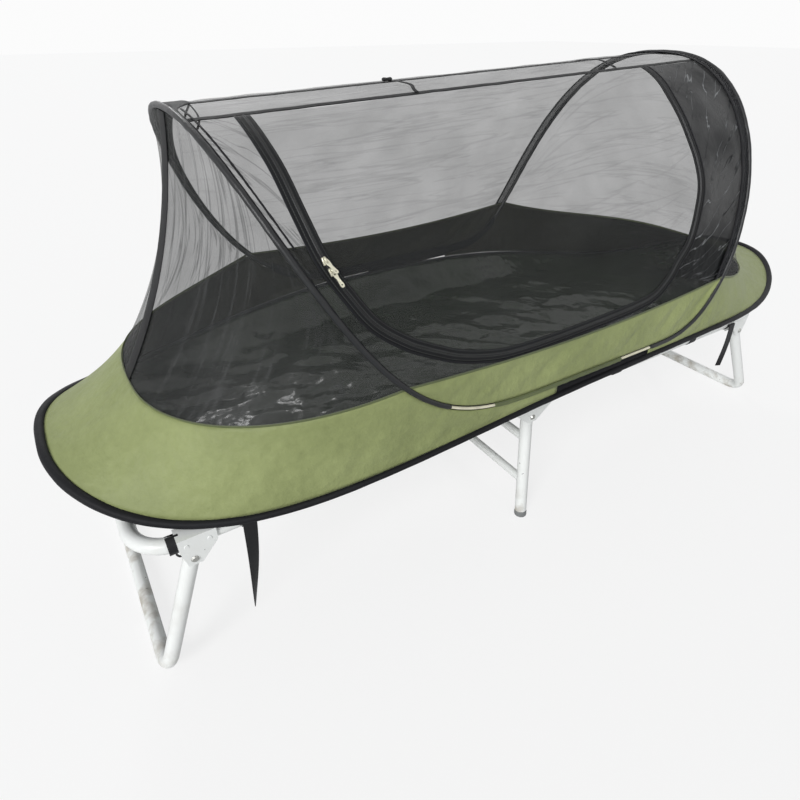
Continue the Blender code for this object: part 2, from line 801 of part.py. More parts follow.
def middle_upright(side):
    """Corners of a middle leg's upright: straight in the bracket, then spread outwards."""
    top = Vector((MIDDLE_PIVOT_X, side * RAIL_HALF_SPACING, PIVOT_HEIGHT + LEG_TOP_RISE))
    knee = Vector((MIDDLE_PIVOT_X, side * RAIL_HALF_SPACING, PIVOT_HEIGHT - TUBE_DIAMETER))
    foot_y = side * (RAIL_HALF_SPACING + MIDDLE_LEG_SPREAD)
    foot = Vector((MIDDLE_PIVOT_X - MIDDLE_LEG_LEAN, foot_y, 0))
    return top, knee, foot


def upright_at(side, height):
    """Point of an upright's middle line at a height below its knee."""
    _, knee, foot = middle_upright(side)
    return knee.lerp(foot, (knee.z - height) / (knee.z - foot.z))


def foot_cap(foot, ahead, height, lip):
    """Plug on a leaning tube's end, cut flat at the floor."""
    side = ahead.cross(ALONG).normalized()
    top = ahead.cross(side)
    chamfer = 0.2
    rings = []
    for share, radius in ((0.0, lip), (1 - chamfer, lip), (1.0, TUBE_RADIUS)):
        ring = []
        for k in range(TUBE_SIDES):
            angle = 2 * math.pi * (k + 0.5) / TUBE_SIDES
            spoke = (side * math.cos(angle) + top * math.sin(angle)) * radius
            point = foot + ahead * (height * share / ahead.z) + spoke
            if share == 0.0:
                point -= ahead * (point.z / ahead.z)
            ring.append(point)
        rings.append(ring)
    return skinned([p for ring in rings for p in ring], len(rings), TUBE_SIDES)


def build_middle_leg(mats, cot):
    """The H-shaped middle leg: two uprights, two cross bars and plugs in the open ends."""
    axis = empty("middle_leg_axis", (MIDDLE_PIVOT_X, 0, PIVOT_HEIGHT), cot)
    cap_height = 0.012
    cap_lip = TUBE_RADIUS * 1.08
    for side_name, side in (("near", -1), ("far", 1)):
        top, knee, foot = middle_upright(side)
        path = bent([top, knee, upright_at(side, cap_height + CAP_GAP)], LEG_BEND_RADIUS, 3)
        shape = sweep(path, round_section(TUBE_RADIUS, TUBE_SIDES), ups=[ALONG] * len(path))
        upright = add_piece(f"middle_leg_{side_name}_upright", outward(*shape), mats["paint"], axis)
        pivot = Vector((MIDDLE_PIVOT_X, side * RAIL_HALF_SPACING, PIVOT_HEIGHT))
        combine(upright, [cross_bore(pivot, PIN_DIAMETER / 2 + GAP, PIN_SIDES)], "DIFFERENCE")
        cap = foot_cap(foot, (knee - foot).normalized(), cap_height, cap_lip)
        add_piece(f"middle_leg_{side_name}_cap", cap, mats["plug"], axis)
    bars = (("middle_leg_upper_bar", UPPER_BAR_HEIGHT), ("middle_leg_lower_bar", LOWER_BAR_HEIGHT))
    for name, height in bars:
        near = upright_at(-1, height)
        bar_radius = CROSS_BAR_DIAMETER / 2
        slope = MIDDLE_LEG_SPREAD / (PIVOT_HEIGHT - TUBE_DIAMETER)
        reach = abs(near.y) - TUBE_RADIUS * math.hypot(1, slope) - bar_radius * slope - GAP
        start = Vector((near.x, -reach, height))
        bar = turned(start, (0, 1, 0), ((0, bar_radius), (2 * reach, bar_radius)), TUBE_SIDES)
        add_piece(name, bar, mats["paint"], axis)


def strap_ups(path, across):
    """Thickness direction along a flat strap whose width lies along one axis."""
    return [ahead.cross(across).normalized() for ahead in tangents(path, False)]


def flat_strap(path, across, width, thickness):
    """Flat webbing along a path, its width along one axis."""
    line = [Vector(p) for p in path]
    return outward(*sweep(line, bar_section(width, thickness), ups=strap_ups(line, across)))


def wrap_radius(turn):
    """Radius of a webbing's corners round a tube, so that its flats clear the tube."""
    return (TUBE_RADIUS + GAP + WEBBING_THICKNESS / 2) / math.cos(turn / 2)


def tie_loop(centre, out, across):
    """Webbing loop from the bed sheet's edge round a tube and back, with both ends in the sheet."""
    tail = 0.030
    sheet_middle = SHEET_TOP - SHEET_THICKNESS / 2 - RAIL_HEIGHT
    steps = 8
    swing = math.radians(205)
    radius = wrap_radius(swing / steps)
    line = [centre - out * (TUBE_RADIUS + tail) + UP * sheet_middle]
    for k in range(steps + 1):
        angle = math.pi / 2 - swing * k / steps
        line.append(centre + out * radius * math.cos(angle) + UP * radius * math.sin(angle))
    line.append(centre - out * (TUBE_RADIUS + tail) + UP * (sheet_middle - SHEET_THICKNESS * 0.3))
    return flat_strap(line, across, WEBBING_WIDTH, WEBBING_THICKNESS)


def build_bed_sheet(mats, cot):
    """The bed's cloth, with the webbing loops at its edge that hold it to the tube."""
    edge_gap = 0.010
    half_long = COT_HALF_LENGTH - TUBE_RADIUS - edge_gap
    half_wide = RAIL_HALF_SPACING - TUBE_RADIUS - edge_gap
    corner = FRAME_BEND_RADIUS
    steps = 3
    outline = []
    for cx, cy, begin in (
        (half_long - corner, half_wide - corner, 0),
        (corner - half_long, half_wide - corner, math.pi / 2),
        (corner - half_long, corner - half_wide, math.pi),
        (half_long - corner, corner - half_wide, 1.5 * math.pi),
    ):
        for k in range(steps + 1):
            angle = begin + math.pi / 2 * k / steps
            outline.append((COT_CENTRE_X + cx + corner * math.cos(angle), cy + corner * math.sin(angle)))
    count = len(outline)
    points = [Vector((x, y, SHEET_TOP - SHEET_THICKNESS)) for x, y in outline]
    points += [Vector((x, y, SHEET_TOP)) for x, y in outline]
    faces = [tuple(reversed(range(count))), tuple(range(count, 2 * count))]
    for k in range(count):
        m = (k + 1) % count
        faces.append((k, m, count + m, count + k))
    sheet = add_piece("bed_sheet", outward(points, faces), mats["bed"], cot)
    rail_shares = (-0.66, -0.32, 0.30, 0.64)
    end_shares = (-0.42, 0.42)
    loops = []
    for side in (-1, 1):
        for share in rail_shares:
            x = COT_CENTRE_X + share * COT_HALF_LENGTH
            centre = Vector((x, side * RAIL_HALF_SPACING, RAIL_HEIGHT))
            loops.append(tie_loop(centre, Vector((0, side, 0)), ALONG))
        for share in end_shares:
            x = COT_CENTRE_X + side * COT_HALF_LENGTH
            centre = Vector((x, share * RAIL_HALF_SPACING, RAIL_HEIGHT))
            loops.append(tie_loop(centre, Vector((side, 0, 0)), DEPTH))
    combine(sheet, loops, "UNION")


def tent_lines():
    """Axes of both rods as closed lines: the base ring and the saddle."""
    left_ring = ring_end(-1, len(LOW_RUN_SHARES), 2 * HIGH_RUN_STEPS + 1)
    right_ring = ring_end(1, len(LOW_RUN_SHARES), 2 * HIGH_RUN_STEPS + 1)
    near_middle = ring_point(-math.pi / 2)
    far_middle = ring_point(math.pi / 2)
    ring = right_ring + [far_middle] + list(reversed(left_ring)) + [near_middle]
    left = arch_line(-1)
    right = arch_line(1)
    near = [left[0].lerp(right[0], share) for share in HEM_SHARES]
    far = [right[-1].lerp(left[-1], share) for share in HEM_SHARES]
    saddle = list(reversed(left)) + near + right + far
    return ring, saddle


def saddle_ups(line):
    """Section direction along the saddle rod: away from the middle of the tent."""
    centre = Vector((0, 0, RING_HEIGHT))
    ups = []
    for point, ahead in zip(line, tangents(line, True)):
        spoke = point - centre
        ups.append((spoke - ahead * spoke.dot(ahead)).normalized())
    return ups


def build_tent_frame(mats, tent):
    """Both sprung rods, the base ring's binding, the arches' sleeves and the hems at their feet."""
    ring, saddle = tent_lines()
    rod = round_section(ROD_RADIUS, ROD_SIDES)
    add_piece("base_ring_rod", outward(*sweep(ring, rod, closed=True)), mats["rod"], tent)
    binding = channel_section(SLEEVE_INNER, BINDING_WIDTH / 2, BINDING_HEIGHT / 2, CHANNEL_SIDES, math.pi)
    add_piece("base_binding", outward(*sweep(ring, binding, closed=True)), mats["binding"], tent)
    ups = saddle_ups(saddle)
    add_piece("saddle_rod", outward(*sweep(saddle, rod, closed=True, ups=ups)), mats["rod"], tent)
    channel = channel_section(SLEEVE_INNER, SLEEVE_RADIUS, SLEEVE_RADIUS, CHANNEL_SIDES, -math.pi / 2)
    arch_count = len(arch_line(-1))
    hem_count = len(HEM_SHARES)
    bare_left = 4
    hem_reach = 2
    near_foot = arch_count - 1
    far_right_foot = 2 * arch_count + hem_count - 1
    turns = saddle + saddle
    all_ups = ups + ups
    pieces = (
        ("left_arch_sleeve", bare_left, near_foot - bare_left, "binding"),
        ("near_hem", near_foot - hem_reach, near_foot + hem_count, "green"),
        ("right_arch_sleeve", arch_count + hem_count, far_right_foot, "binding"),
        ("far_hem", far_right_foot + 1, len(saddle) + hem_reach, "green"),
    )
    for name, first, last, finish in pieces:
        shape = sweep(turns[first : last + 1], channel, ups=all_ups[first : last + 1])
        add_piece(name, outward(*shape), mats[finish], tent)


def build_floor(mats, tent):
    """The tent's floor: flat on the bed, drawn up to the base ring at its edge."""
    ring, _ = tent_lines()
    reach = BINDING_WIDTH / 2 + GAP
    rise_starts = 0.80
    shares = (rise_starts, 0.90, 1.0)
    count = len(ring)
    edge = []
    for point, ahead in zip(ring, tangents(ring, True)):
        inward = UP.cross(ahead).normalized()
        edge.append(point + inward * reach)
    rows = []
    for share in shares:
        lift = max(share - rise_starts, 0.0) / (1 - rise_starts)
        row = []
        for p in edge:
            z = FLOOR_LEVEL + max(p.z - FLOOR_LEVEL, 0.0) * lift**1.5
            row.append(Vector((p.x * share, p.y * share, z)))
        rows.append(row)
    half = CLOTH_THICKNESS / 2
    points = []
    for offset in (half, -half):
        for row in rows:
            points += [p + UP * offset for p in row]
    layer = count * len(rows)
    faces = [tuple(range(count)), tuple(reversed(range(layer, layer + count)))]
    for base, lower in ((0, False), (layer, True)):
        for j in range(count):
            m = (j + 1) % count
            for i in range(len(rows) - 1):
                a = base + i * count
                for face in ((a + j, a + count + j, a + count + m), (a + j, a + count + m, a + m)):
                    faces.append(tuple(reversed(face)) if lower else face)
    rim = count * (len(rows) - 1)
    for j in range(count):
        m = (j + 1) % count
        faces.append((rim + j, layer + rim + j, layer + rim + m, rim + m))
    add_piece("tent_floor", outward(points, faces), mats["floor"], tent)


def binding_reach(place, towards):
    """Distance from the base ring's axis at which a cloth that comes from one side clears the binding."""
    way = towards - place
    level = math.hypot(way.x, way.y) / way.length
    steep = way.z / way.length
    radius = 1 / math.hypot(level / (BINDING_WIDTH / 2), steep / (BINDING_HEIGHT / 2))
    return radius + GAP + CLOTH_THICKNESS / 2


def build_aprons(mats, tent):
    """Green cloth round each end, from the base ring up to the seam and the arches' low runs."""
    low_count = len(LOW_RUN_SHARES)
    sag = 0.008
    for name, side in (("left_apron", -1), ("right_apron", 1)):
        arch = arch_line(side)
        seam = seam_end(side)
        top = arch[: low_count - 1] + seam + arch[1 - low_count :]
        ring = ring_end(side, low_count, len(seam))
        at_rod = SLEEVE_RADIUS + GAP + CLOTH_THICKNESS / 2
        distances = [at_rod] * low_count + [GAP] * (len(top) - 2 * low_count) + [at_rod] * low_count
        bottom = inset(ring, top, [binding_reach(p, q) for p, q in zip(ring, top)])
        top = inset(top, ring, distances)
        rows = []
        for share in (0.0, 0.34, 0.67, 1.0):
            row = []
            for a, b in zip(top, bottom):
                point = a.lerp(b, share)
                point.z -= sag * 4 * share * (1 - share) * min((a - b).length / SEAM_RISE, 1.0)
                row.append(point)
            rows.append(row)
        add_piece(name, sheet_solid(rows, CLOTH_THICKNESS), mats["green"], tent)


def build_walls(mats, tent):
    """Green cloth of the long sides, between the seam and the saddle rod's low run."""
    low_count = len(LOW_RUN_SHARES)
    tuck = 0.4
    left = list(reversed(arch_line(-1)[:low_count]))
    right = arch_line(1)[:low_count]
    straight = [left[-1].lerp(right[0], share) for share in HEM_SHARES]
    bottom = left + straight + right
    bottom[0] = bottom[0].lerp(bottom[1], tuck)
    bottom[-1] = bottom[-1].lerp(bottom[-2], tuck)
    top = []
    for p in bottom:
        across = (p.x - left[0].x) / (right[-1].x - left[0].x)
        top.append(panel_point(across, seam_share(across)))
    low = inset(bottom, top, SLEEVE_RADIUS + GAP + CLOTH_THICKNESS / 2)
    top = inset(top, bottom, GAP)
    for name, mirror in (("near_wall", False), ("far_wall", True)):
        rows = []
        for share in (0.0, 0.5, 1.0):
            row = [a.lerp(b, share) for a, b in zip(top, low)]
            rows.append([Vector((p.x, -p.y if mirror else p.y, p.z)) for p in row])
        add_piece(name, sheet_solid(rows, CLOTH_THICKNESS), mats["green"], tent)


def turn_for(distance, turn):
    """Share of the quarter turn that a real distance down the panel takes at one place."""
    return distance / panel_frame(0.5, turn)[2].length


def panel_rows(turns, steps, mirror=False):
    """Rows of points across the whole panel, one for each turn down it."""
    return [[panel_point(j / steps, turn, mirror) for j in range(steps + 1)] for turn in turns]


def build_ridge(mats, tent):
    """The tapes along the ridge and the door's top edge, and the net between them."""
    half_tape = RIDGE_TAPE_WIDTH / 2
    at_sleeve = SLEEVE_RADIUS + GAP + NET_THICKNESS / 2
    steps = 5
    tape_end = turn_for(half_tape, 0.01)
    rows = panel_rows((tape_end,), steps)
    rows += [[panel_point(j / steps, 0.0) for j in range(steps + 1)]]
    rows += panel_rows((tape_end,), steps, mirror=True)
    grid = trimmed(rows, left=at_sleeve, right=at_sleeve)
    add_piece("ridge_tape", sheet_solid(grid, TAPE_THICKNESS), mats["tape"], tent)

    tape_low = DOOR_TOP_SHARE - turn_for(HINGE_GAP, DOOR_TOP_SHARE)
    tape_high = tape_low - turn_for(RIDGE_TAPE_WIDTH, DOOR_TOP_SHARE)
    grid = trimmed(panel_rows((tape_high, tape_low), steps), left=at_sleeve, right=at_sleeve)
    add_piece("door_top_tape", sheet_solid(grid, TAPE_THICKNESS), mats["tape"], tent)

    net_turns = panel_turns(tape_end + turn_for(GAP, 0.01), tape_high - turn_for(GAP, DOOR_TOP_SHARE))
    grid = trimmed(panel_rows(net_turns, steps), left=at_sleeve, right=at_sleeve)
    add_piece("ridge_net", sheet_solid(grid, NET_THICKNESS), mats["net"], tent)

    far_turns = panel_turns(tape_end + turn_for(GAP, 0.01), seam_share(0.0))
    rows = panel_rows(far_turns[:-1], steps, mirror=True)
    rows.append([panel_point(j / steps, seam_share(j / steps), True) for j in range(steps + 1)])
    grid = trimmed(rows, bottom=GAP, left=at_sleeve, right=at_sleeve)
    add_piece("far_net", sheet_solid(grid, NET_THICKNESS), mats["net"], tent)


def zip_half(line, side):
    """One half of the zip: a flat tape beside its middle line, on the door's side if side is 1."""
    near = [panel_point(*s) for s in beside(line, side * GAP)]
    away = [panel_point(*s) for s in beside(line, side * (GAP + ZIP_TAPE_WIDTH))]
    return sheet_solid([near, away], ZIP_TAPE_THICKNESS)


def build_near_net(mats, tent):
    """The near side's fixed net round the door, with the zip's fixed half."""
    line = zip_line()
    inner = beside(line, -(ZIP_TAPE_WIDTH + 2 * GAP))
    start = inner[0][1]
    low = seam_share(0.0)
    side_turns = panel_turns(start, low)
    stretch = ZIP_SIDE_STEPS / (len(side_turns) - 1)
    outer = []
    for k in range(ZIP_SIDE_STEPS):
        at = k / stretch
        first = min(int(at), len(side_turns) - 2)
        turn = side_turns[first] + (side_turns[first + 1] - side_turns[first]) * (at - first)
        outer.append(Vector((0.0, turn)))
    for k in range(ZIP_BOTTOM_STEPS + 1):
        across = k / ZIP_BOTTOM_STEPS
        outer.append(Vector((across, seam_share(across))))
    outer += [Vector((1.0, s[1])) for s in reversed(outer[:ZIP_SIDE_STEPS])]
    inner_points = [panel_point(*s) for s in inner]
    outer_points = [panel_point(*s) for s in outer]
    rows = []
    for share in (0.0, 0.5, 1.0):
        rows.append([panel_point(*a.lerp(b, share)) for a, b in zip(inner, outer)])
    rows[0] = inner_points
    rows[-1] = outer_points
    at_sleeve = SLEEVE_RADIUS + SLEEVE_CLEARANCE
    sides = [at_sleeve] * (ZIP_SIDE_STEPS + 1)
    distances = sides + [GAP] * (ZIP_BOTTOM_STEPS - 1) + sides
    grid = trimmed(rows, bottom=distances)
    add_piece("near_net", sheet_solid(grid, NET_THICKNESS), mats["net"], tent)
    add_piece("fixed_zip_tape", zip_half(line, -1), mats["tape"], tent)


def build_door(mats, tent):
    """The door net and its half of the zip, hinged along the door's straight top edge."""
    axis = empty("door_axis", panel_point(0.0, DOOR_TOP_SHARE), tent)
    line = zip_line()
    edge = beside(line, ZIP_TAPE_WIDTH + 2 * GAP)
    left = edge[: ZIP_SIDE_STEPS + 1]
    bottom = edge[ZIP_SIDE_STEPS : ZIP_SIDE_STEPS + ZIP_BOTTOM_STEPS + 1]
    right = list(reversed(edge[ZIP_SIDE_STEPS + ZIP_BOTTOM_STEPS :]))
    rows = []
    for i in range(ZIP_SIDE_STEPS + 1):
        share = i / ZIP_SIDE_STEPS
        row = []
        for j in range(ZIP_BOTTOM_STEPS + 1):
            across = j / ZIP_BOTTOM_STEPS
            sunk = bottom[j] - bottom[0].lerp(bottom[-1], across)
            row.append(left[i].lerp(right[i], across) + sunk * share**2)
        rows.append([panel_point(*s) for s in row])
    add_piece("door_net", sheet_solid(rows, NET_THICKNESS), mats["net"], axis)
    add_piece("door_zip_tape", zip_half(line, 1), mats["tape"], axis)
    return axis


def build_end_nets(mats, tent):
    """Net at each end, from the arch to the seam, drawn inwards between them."""
    low_count = len(LOW_RUN_SHARES)
    tuck = 0.35
    for name, side in (("left_end_net", -1), ("right_end_net", 1)):
        arch = arch_line(side)[low_count - 1 : 1 - low_count]
        seam = seam_end(side)
        for line in (arch, seam):
            line[0] = line[0].lerp(line[1], tuck)
            line[-1] = line[-1].lerp(line[-2], tuck)
        top = inset(arch, seam, SLEEVE_RADIUS + GAP + NET_THICKNESS / 2)
        bottom = inset(seam, arch, GAP)
        count = len(top)
        rows = []
        for share in (0.0, 0.25, 0.5, 0.75, 1.0):
            row = []
            for k, (a, b) in enumerate(zip(top, bottom)):
                point = a.lerp(b, share)
                pull = 4 * share * (1 - share) * math.sin(math.pi * k / (count - 1))
                point.x -= side * END_NET_PULL * pull
                row.append(point)
            rows.append(row)
        add_piece(name, sheet_solid(rows, NET_THICKNESS), mats["net"], tent)


def zip_frame(turn):
    """Place, direction down the zip, direction into the door and outward normal on the zip's left run."""
    line = spread_shares(ZIP_LEFT_SHARES, 100)
    k = min(range(1, 100), key=lambda i: abs(line[i][1] - turn))
    here = panel_point(*line[k])
    ahead = (panel_point(*line[k + 1]) - panel_point(*line[k - 1])).normalized()
    across = panel_frame(*line[k])[3].cross(ahead).normalized()
    return here, ahead, across, ahead.cross(across).normalized()


def plate(outline, place, low, high):
    """Flat plate: an outline of (along, across) pairs, placed by a function, between two levels."""
    points = [place(t, s, low) for t, s in outline] + [place(t, s, high) for t, s in outline]
    return skinned(points, 2, len(outline))


def build_slider(name, pull_name, turn, lift, mats, parent):
    """A zip slider with its bridge, and the pull that hangs from it, lifted off the tape by an angle."""
    length = 0.012
    width = 0.011
    height = 0.0034
    shoulder = height * 0.7
    top_share = 0.85
    window = 0.0026
    bar = 0.0014
    bridge_long = 0.0090
    bridge_wide = 0.0030
    sunk = height * 0.3
    here, ahead, across, normal = zip_frame(turn)
    base = here + normal * (ZIP_TAPE_THICKNESS / 2 + GAP)
    axis = empty(name + "_axis", base, parent)

    def local(t, s, n):
        return base + ahead * t + across * s + normal * n

    outline = (
        (-0.5, -0.28), (-0.28, -0.5), (0.28, -0.5), (0.5, -0.36),
        (0.5, 0.36), (0.28, 0.5), (-0.28, 0.5), (-0.5, 0.28),
    )
    points = [local(t * length, s * width, 0) for t, s in outline]
    points += [local(t * length, s * width, shoulder) for t, s in outline]
    points += [local(t * length * top_share, s * width * top_share, height) for t, s in outline]
    slider = add_piece(name, skinned(points, 3, len(outline)), mats["slider"], axis)
    reach = bridge_long / 2
    crown = reach * 0.6
    profile = (
        (-reach, height - sunk),
        (-reach, height + window),
        (-crown, height + window + bar),
        (crown, height + window + bar),
        (reach, height + window),
        (reach, height - sunk),
        (reach - bar, height - sunk),
        (reach - bar, height + window * 0.8),
        (crown - bar / 2, height + window),
        (bar / 2 - crown, height + window),
        (bar - reach, height + window * 0.8),
        (bar - reach, height - sunk),
    )
    bridge = plate(profile, lambda t, n, s: local(t, s, n), -bridge_wide / 2, bridge_wide / 2)
    combine(slider, [bridge], "UNION")

    pivot_place = local(0, 0, height + window / 2)
    pivot = empty(pull_name + "_axis", pivot_place, axis)
    thick = 0.0012
    eye_bar = 0.0012
    head_wide = 0.0068
    tab_long = 0.026
    tab_wide = 0.0058
    slot_wide = bridge_wide + 2 * GAP
    slot_long = 0.0058
    slot_rim = 0.0014
    neck = eye_bar / 2 + slot_long + slot_rim

    hang = ahead * math.cos(lift) + normal * math.sin(lift)
    face = normal * math.cos(lift) - ahead * math.sin(lift)

    def tab(t, s, n):
        return pivot_place + hang * t + across * s + face * n

    rim = (
        (-eye_bar / 2, -head_wide / 2),
        (neck, -head_wide / 2),
        (tab_long * 0.5, -tab_wide * 0.36),
        (tab_long * 0.8, -tab_wide / 2),
        (tab_long, -tab_wide * 0.3),
        (tab_long, tab_wide * 0.3),
        (tab_long * 0.8, tab_wide / 2),
        (tab_long * 0.5, tab_wide * 0.36),
        (neck, head_wide / 2),
        (-eye_bar / 2, head_wide / 2),
    )
    pull = add_piece(pull_name, plate(rim, tab, -thick / 2, thick / 2), mats["slider"], pivot)
    slot = (
        (eye_bar / 2, -slot_wide / 2),
        (eye_bar / 2 + slot_long, -slot_wide / 2),
        (eye_bar / 2 + slot_long, slot_wide / 2),
        (eye_bar / 2, slot_wide / 2),
    )
    hole_radius = tab_wide * 0.2
    hole_sides = 8
    stations = ((0, hole_radius), (thick * 4, hole_radius))
    hole = turned(tab(tab_long * 0.86, 0, -thick * 2), face, stations, hole_sides)
    combine(pull, [plate(slot, tab, -thick * 2, thick * 2), hole], "DIFFERENCE")


def build_ridge_ties(mats, tent):
    """The toggle at the ridge, the loop that holds the rolled door with it, and the lantern loop."""
    tie_share = 0.34
    lantern_share = 0.035
    loop_width = 0.006
    loop_thickness = 0.0010
    toggle_radius = 0.0035
    toggle_half = 0.010
    line = []
    ups = []
    for turn in panel_turns(turn_for(RIDGE_TAPE_WIDTH / 2 + 2 * GAP, 0.01), DOOR_TOP_SHARE * 0.95):
        here, _, _, normal = panel_frame(tie_share, turn)
        line.append(here + normal * (TAPE_THICKNESS / 2 + 2 * GAP + loop_thickness / 2))
        ups.append(normal)
    shape = outward(*sweep(line, bar_section(loop_width, loop_thickness), ups=ups))
    add_piece("door_tie_loop", shape, mats["tape"], tent)
    here = panel_point(tie_share, 0.0)
    centre = here + UP * (TAPE_THICKNESS / 2 + GAP + toggle_radius)
    stations = (
        (0, toggle_radius * 0.6),
        (toggle_half * 0.3, toggle_radius),
        (toggle_half, toggle_radius * 0.75),
        (toggle_half * 1.7, toggle_radius),
        (toggle_half * 2, toggle_radius * 0.6),
    )
    toggle = turned(centre - ALONG * toggle_half, ALONG, stations, 8)
    add_piece("door_tie_toggle", toggle, mats["buckle"], tent)

    loop_long = 0.042
    loop_half = 0.008
    strap_width = RIDGE_TAPE_WIDTH * 0.6
    turns = 10
    hang = panel_point(lantern_share, 0.0)
    top = hang.z - TAPE_THICKNESS / 2 - GAP - loop_thickness / 2
    line = []
    for k in range(turns + 1):
        angle = math.pi * 2 * (k + 0.4) / (turns + 0.8)
        drop = loop_long / 2 * (1 - math.cos(angle))
        line.append(Vector((hang.x + loop_half * math.sin(angle), 0, top - drop)))
    add_piece("lantern_loop", flat_strap(line, DEPTH, strap_width, loop_thickness), mats["tape"], tent)


def build_straps(mats, tent):
    """Webbing that ties the tent to the rails, each with a loose tail, and the near left buckle."""
    steps = 8
    radius = wrap_radius(math.pi / steps)
    under_floor = FLOOR_UNDERSIDE - GAP - RAIL_HEIGHT
    bar_level = 0.002
    bar_thick = 0.0024
    fold_reach = bar_thick / 2 + BUCKLE_GAP + WEBBING_THICKNESS / 2
    table = (
        ("near_left", -1, LEFT_STRAP_X, 0.195),
        ("near_right", -1, RIGHT_STRAP_X, 0.130),
        ("far_left", 1, LEFT_STRAP_X, 0.120),
        ("far_right", 1, RIGHT_STRAP_X, 0.120),
    )
    for name, side, x, tail_length in table:
        centre = Vector((x, side * RAIL_HALF_SPACING, RAIL_HEIGHT))
        out = Vector((0, side, 0))
        line = [centre - out * radius + UP * under_floor]
        for k in range(steps + 1):
            angle = math.pi * k / steps
            line.append(centre - out * radius * math.cos(angle) - UP * radius * math.sin(angle))
        bar = centre + out * (radius + fold_reach) + UP * bar_level
        line.append(bar - out * fold_reach)
        for angle in (math.radians(135), math.radians(90), math.radians(45), 0.0):
            line.append(bar + out * fold_reach * math.cos(angle) + UP * fold_reach * math.sin(angle))
        tail_steps = 5
        drift = 0.004
        end = line[-1].copy()
        for k in range(1, tail_steps + 1):
            s = k / tail_steps
            line.append(end - UP * tail_length * s + out * drift * math.sin(math.pi * s))
        shape = flat_strap(line, ALONG, WEBBING_WIDTH, WEBBING_THICKNESS)
        add_piece(f"{name}_strap", shape, mats["webbing"], tent)
        if name == "near_left":
            add_buckle(name, bar, bar_thick, under_floor + RAIL_HEIGHT, mats, tent)


def add_buckle(name, bar, thick, top, mats, tent):
    """Ladder buckle: a plate with one window that the webbing folds through."""
    rim = 0.003
    window_wide = WEBBING_WIDTH + 2 * BUCKLE_GAP
    window_high = thick / 2 + BUCKLE_GAP + WEBBING_THICKNESS + BUCKLE_GAP
    wide = window_wide + 2 * rim
    low = bar.z - thick / 2
    high = top
    body = box_shape((bar.x, bar.y, (low + high) / 2), (wide, thick, high - low))
    buckle = add_piece(f"{name}_buckle", body, mats["buckle"], tent)
    window_low = bar.z + thick / 2
    middle = Vector((bar.x, bar.y, window_low + window_high / 2))
    combine(buckle, [box_shape(middle, (window_wide, thick * 3, window_high))], "DIFFERENCE")


def build():
    """Build the whole tent cot."""
    clear_scene()
    mats = finishes()
    cot = empty("cot", (COT_CENTRE_X, 0, 0))
    tent = empty("tent", (0, 0, RING_HEIGHT))
    build_frame(mats, cot)
    build_brackets(mats, cot)
    build_end_leg("left_leg", LEFT_PIVOT_X, LEFT_PIVOT_X - LEFT_LEG_SPLAY, mats, cot)
    build_end_leg("right_leg", RIGHT_PIVOT_X, RIGHT_PIVOT_X + RIGHT_LEG_SPLAY, mats, cot)
    build_middle_leg(mats, cot)
    build_bed_sheet(mats, cot)
    build_tent_frame(mats, tent)
    build_floor(mats, tent)
    build_aprons(mats, tent)
    build_walls(mats, tent)
    build_ridge(mats, tent)
    build_near_net(mats, tent)
    build_end_nets(mats, tent)
    door = build_door(mats, tent)
    build_slider("zip_slider_upper", "zip_pull_upper", UPPER_SLIDER_SHARE, UPPER_PULL_LIFT, mats, door)
    build_slider("zip_slider_lower", "zip_pull_lower", LOWER_SLIDER_SHARE, 0.0, mats, door)
    build_ridge_ties(mats, tent)
    build_straps(mats, tent)


PANEL_ANGLES = arch_angles()
PANEL_ARCHES = {side: [arch_point(side, a) for a in PANEL_ANGLES] for side in (-1, 1)}

build()
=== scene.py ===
"""Looks of a tent cot: a sprung mosquito-net tent tied down on a folding tubular camp cot.

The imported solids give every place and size. The tubes, cloth, nets, tapes and webbing are made here
with smooth forms, folds and finishes, on the same named sizes, in metres.
"""

from __future__ import annotations

import logging
import math
from collections.abc import Callable, Sequence
from dataclasses import dataclass, field
from enum import Enum

import bpy
from mathutils import Matrix, Vector, noise

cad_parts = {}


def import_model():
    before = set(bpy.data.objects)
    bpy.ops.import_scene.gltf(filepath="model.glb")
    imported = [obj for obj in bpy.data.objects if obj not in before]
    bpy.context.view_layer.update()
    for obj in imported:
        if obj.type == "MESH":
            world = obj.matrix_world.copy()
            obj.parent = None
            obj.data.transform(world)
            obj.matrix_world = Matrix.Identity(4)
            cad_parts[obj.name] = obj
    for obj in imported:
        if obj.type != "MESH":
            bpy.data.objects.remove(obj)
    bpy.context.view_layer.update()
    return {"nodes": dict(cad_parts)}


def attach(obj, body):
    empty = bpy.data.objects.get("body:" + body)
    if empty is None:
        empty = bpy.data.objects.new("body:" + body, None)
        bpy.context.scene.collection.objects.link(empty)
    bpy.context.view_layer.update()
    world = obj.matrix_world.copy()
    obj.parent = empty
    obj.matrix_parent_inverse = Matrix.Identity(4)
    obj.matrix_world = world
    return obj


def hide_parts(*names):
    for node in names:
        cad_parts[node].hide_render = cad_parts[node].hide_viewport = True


LOG = logging.getLogger("tent_cot")
UP = Vector((0.0, 0.0, 1.0))
ALONG = Vector((1.0, 0.0, 0.0))
DEPTH = Vector((0.0, 1.0, 0.0))
CABIN_CENTRE = Vector((0.0, 0.0, 0.45))
WELD_DISTANCE = 0.00001
TUBE_CREASE = 50
SLIDER_CREASE = 40
RIBBON_SHARES = (-1.0, -0.86, -0.4, 0.0, 0.4, 0.86, 1.0)
Shares = tuple[tuple[float, float], ...]
Rows = list[list[Vector]]
Colour = tuple[float, float, float, float]
Socket = bpy.types.NodeSocket
Material = bpy.types.Material
Piece = bpy.types.Object


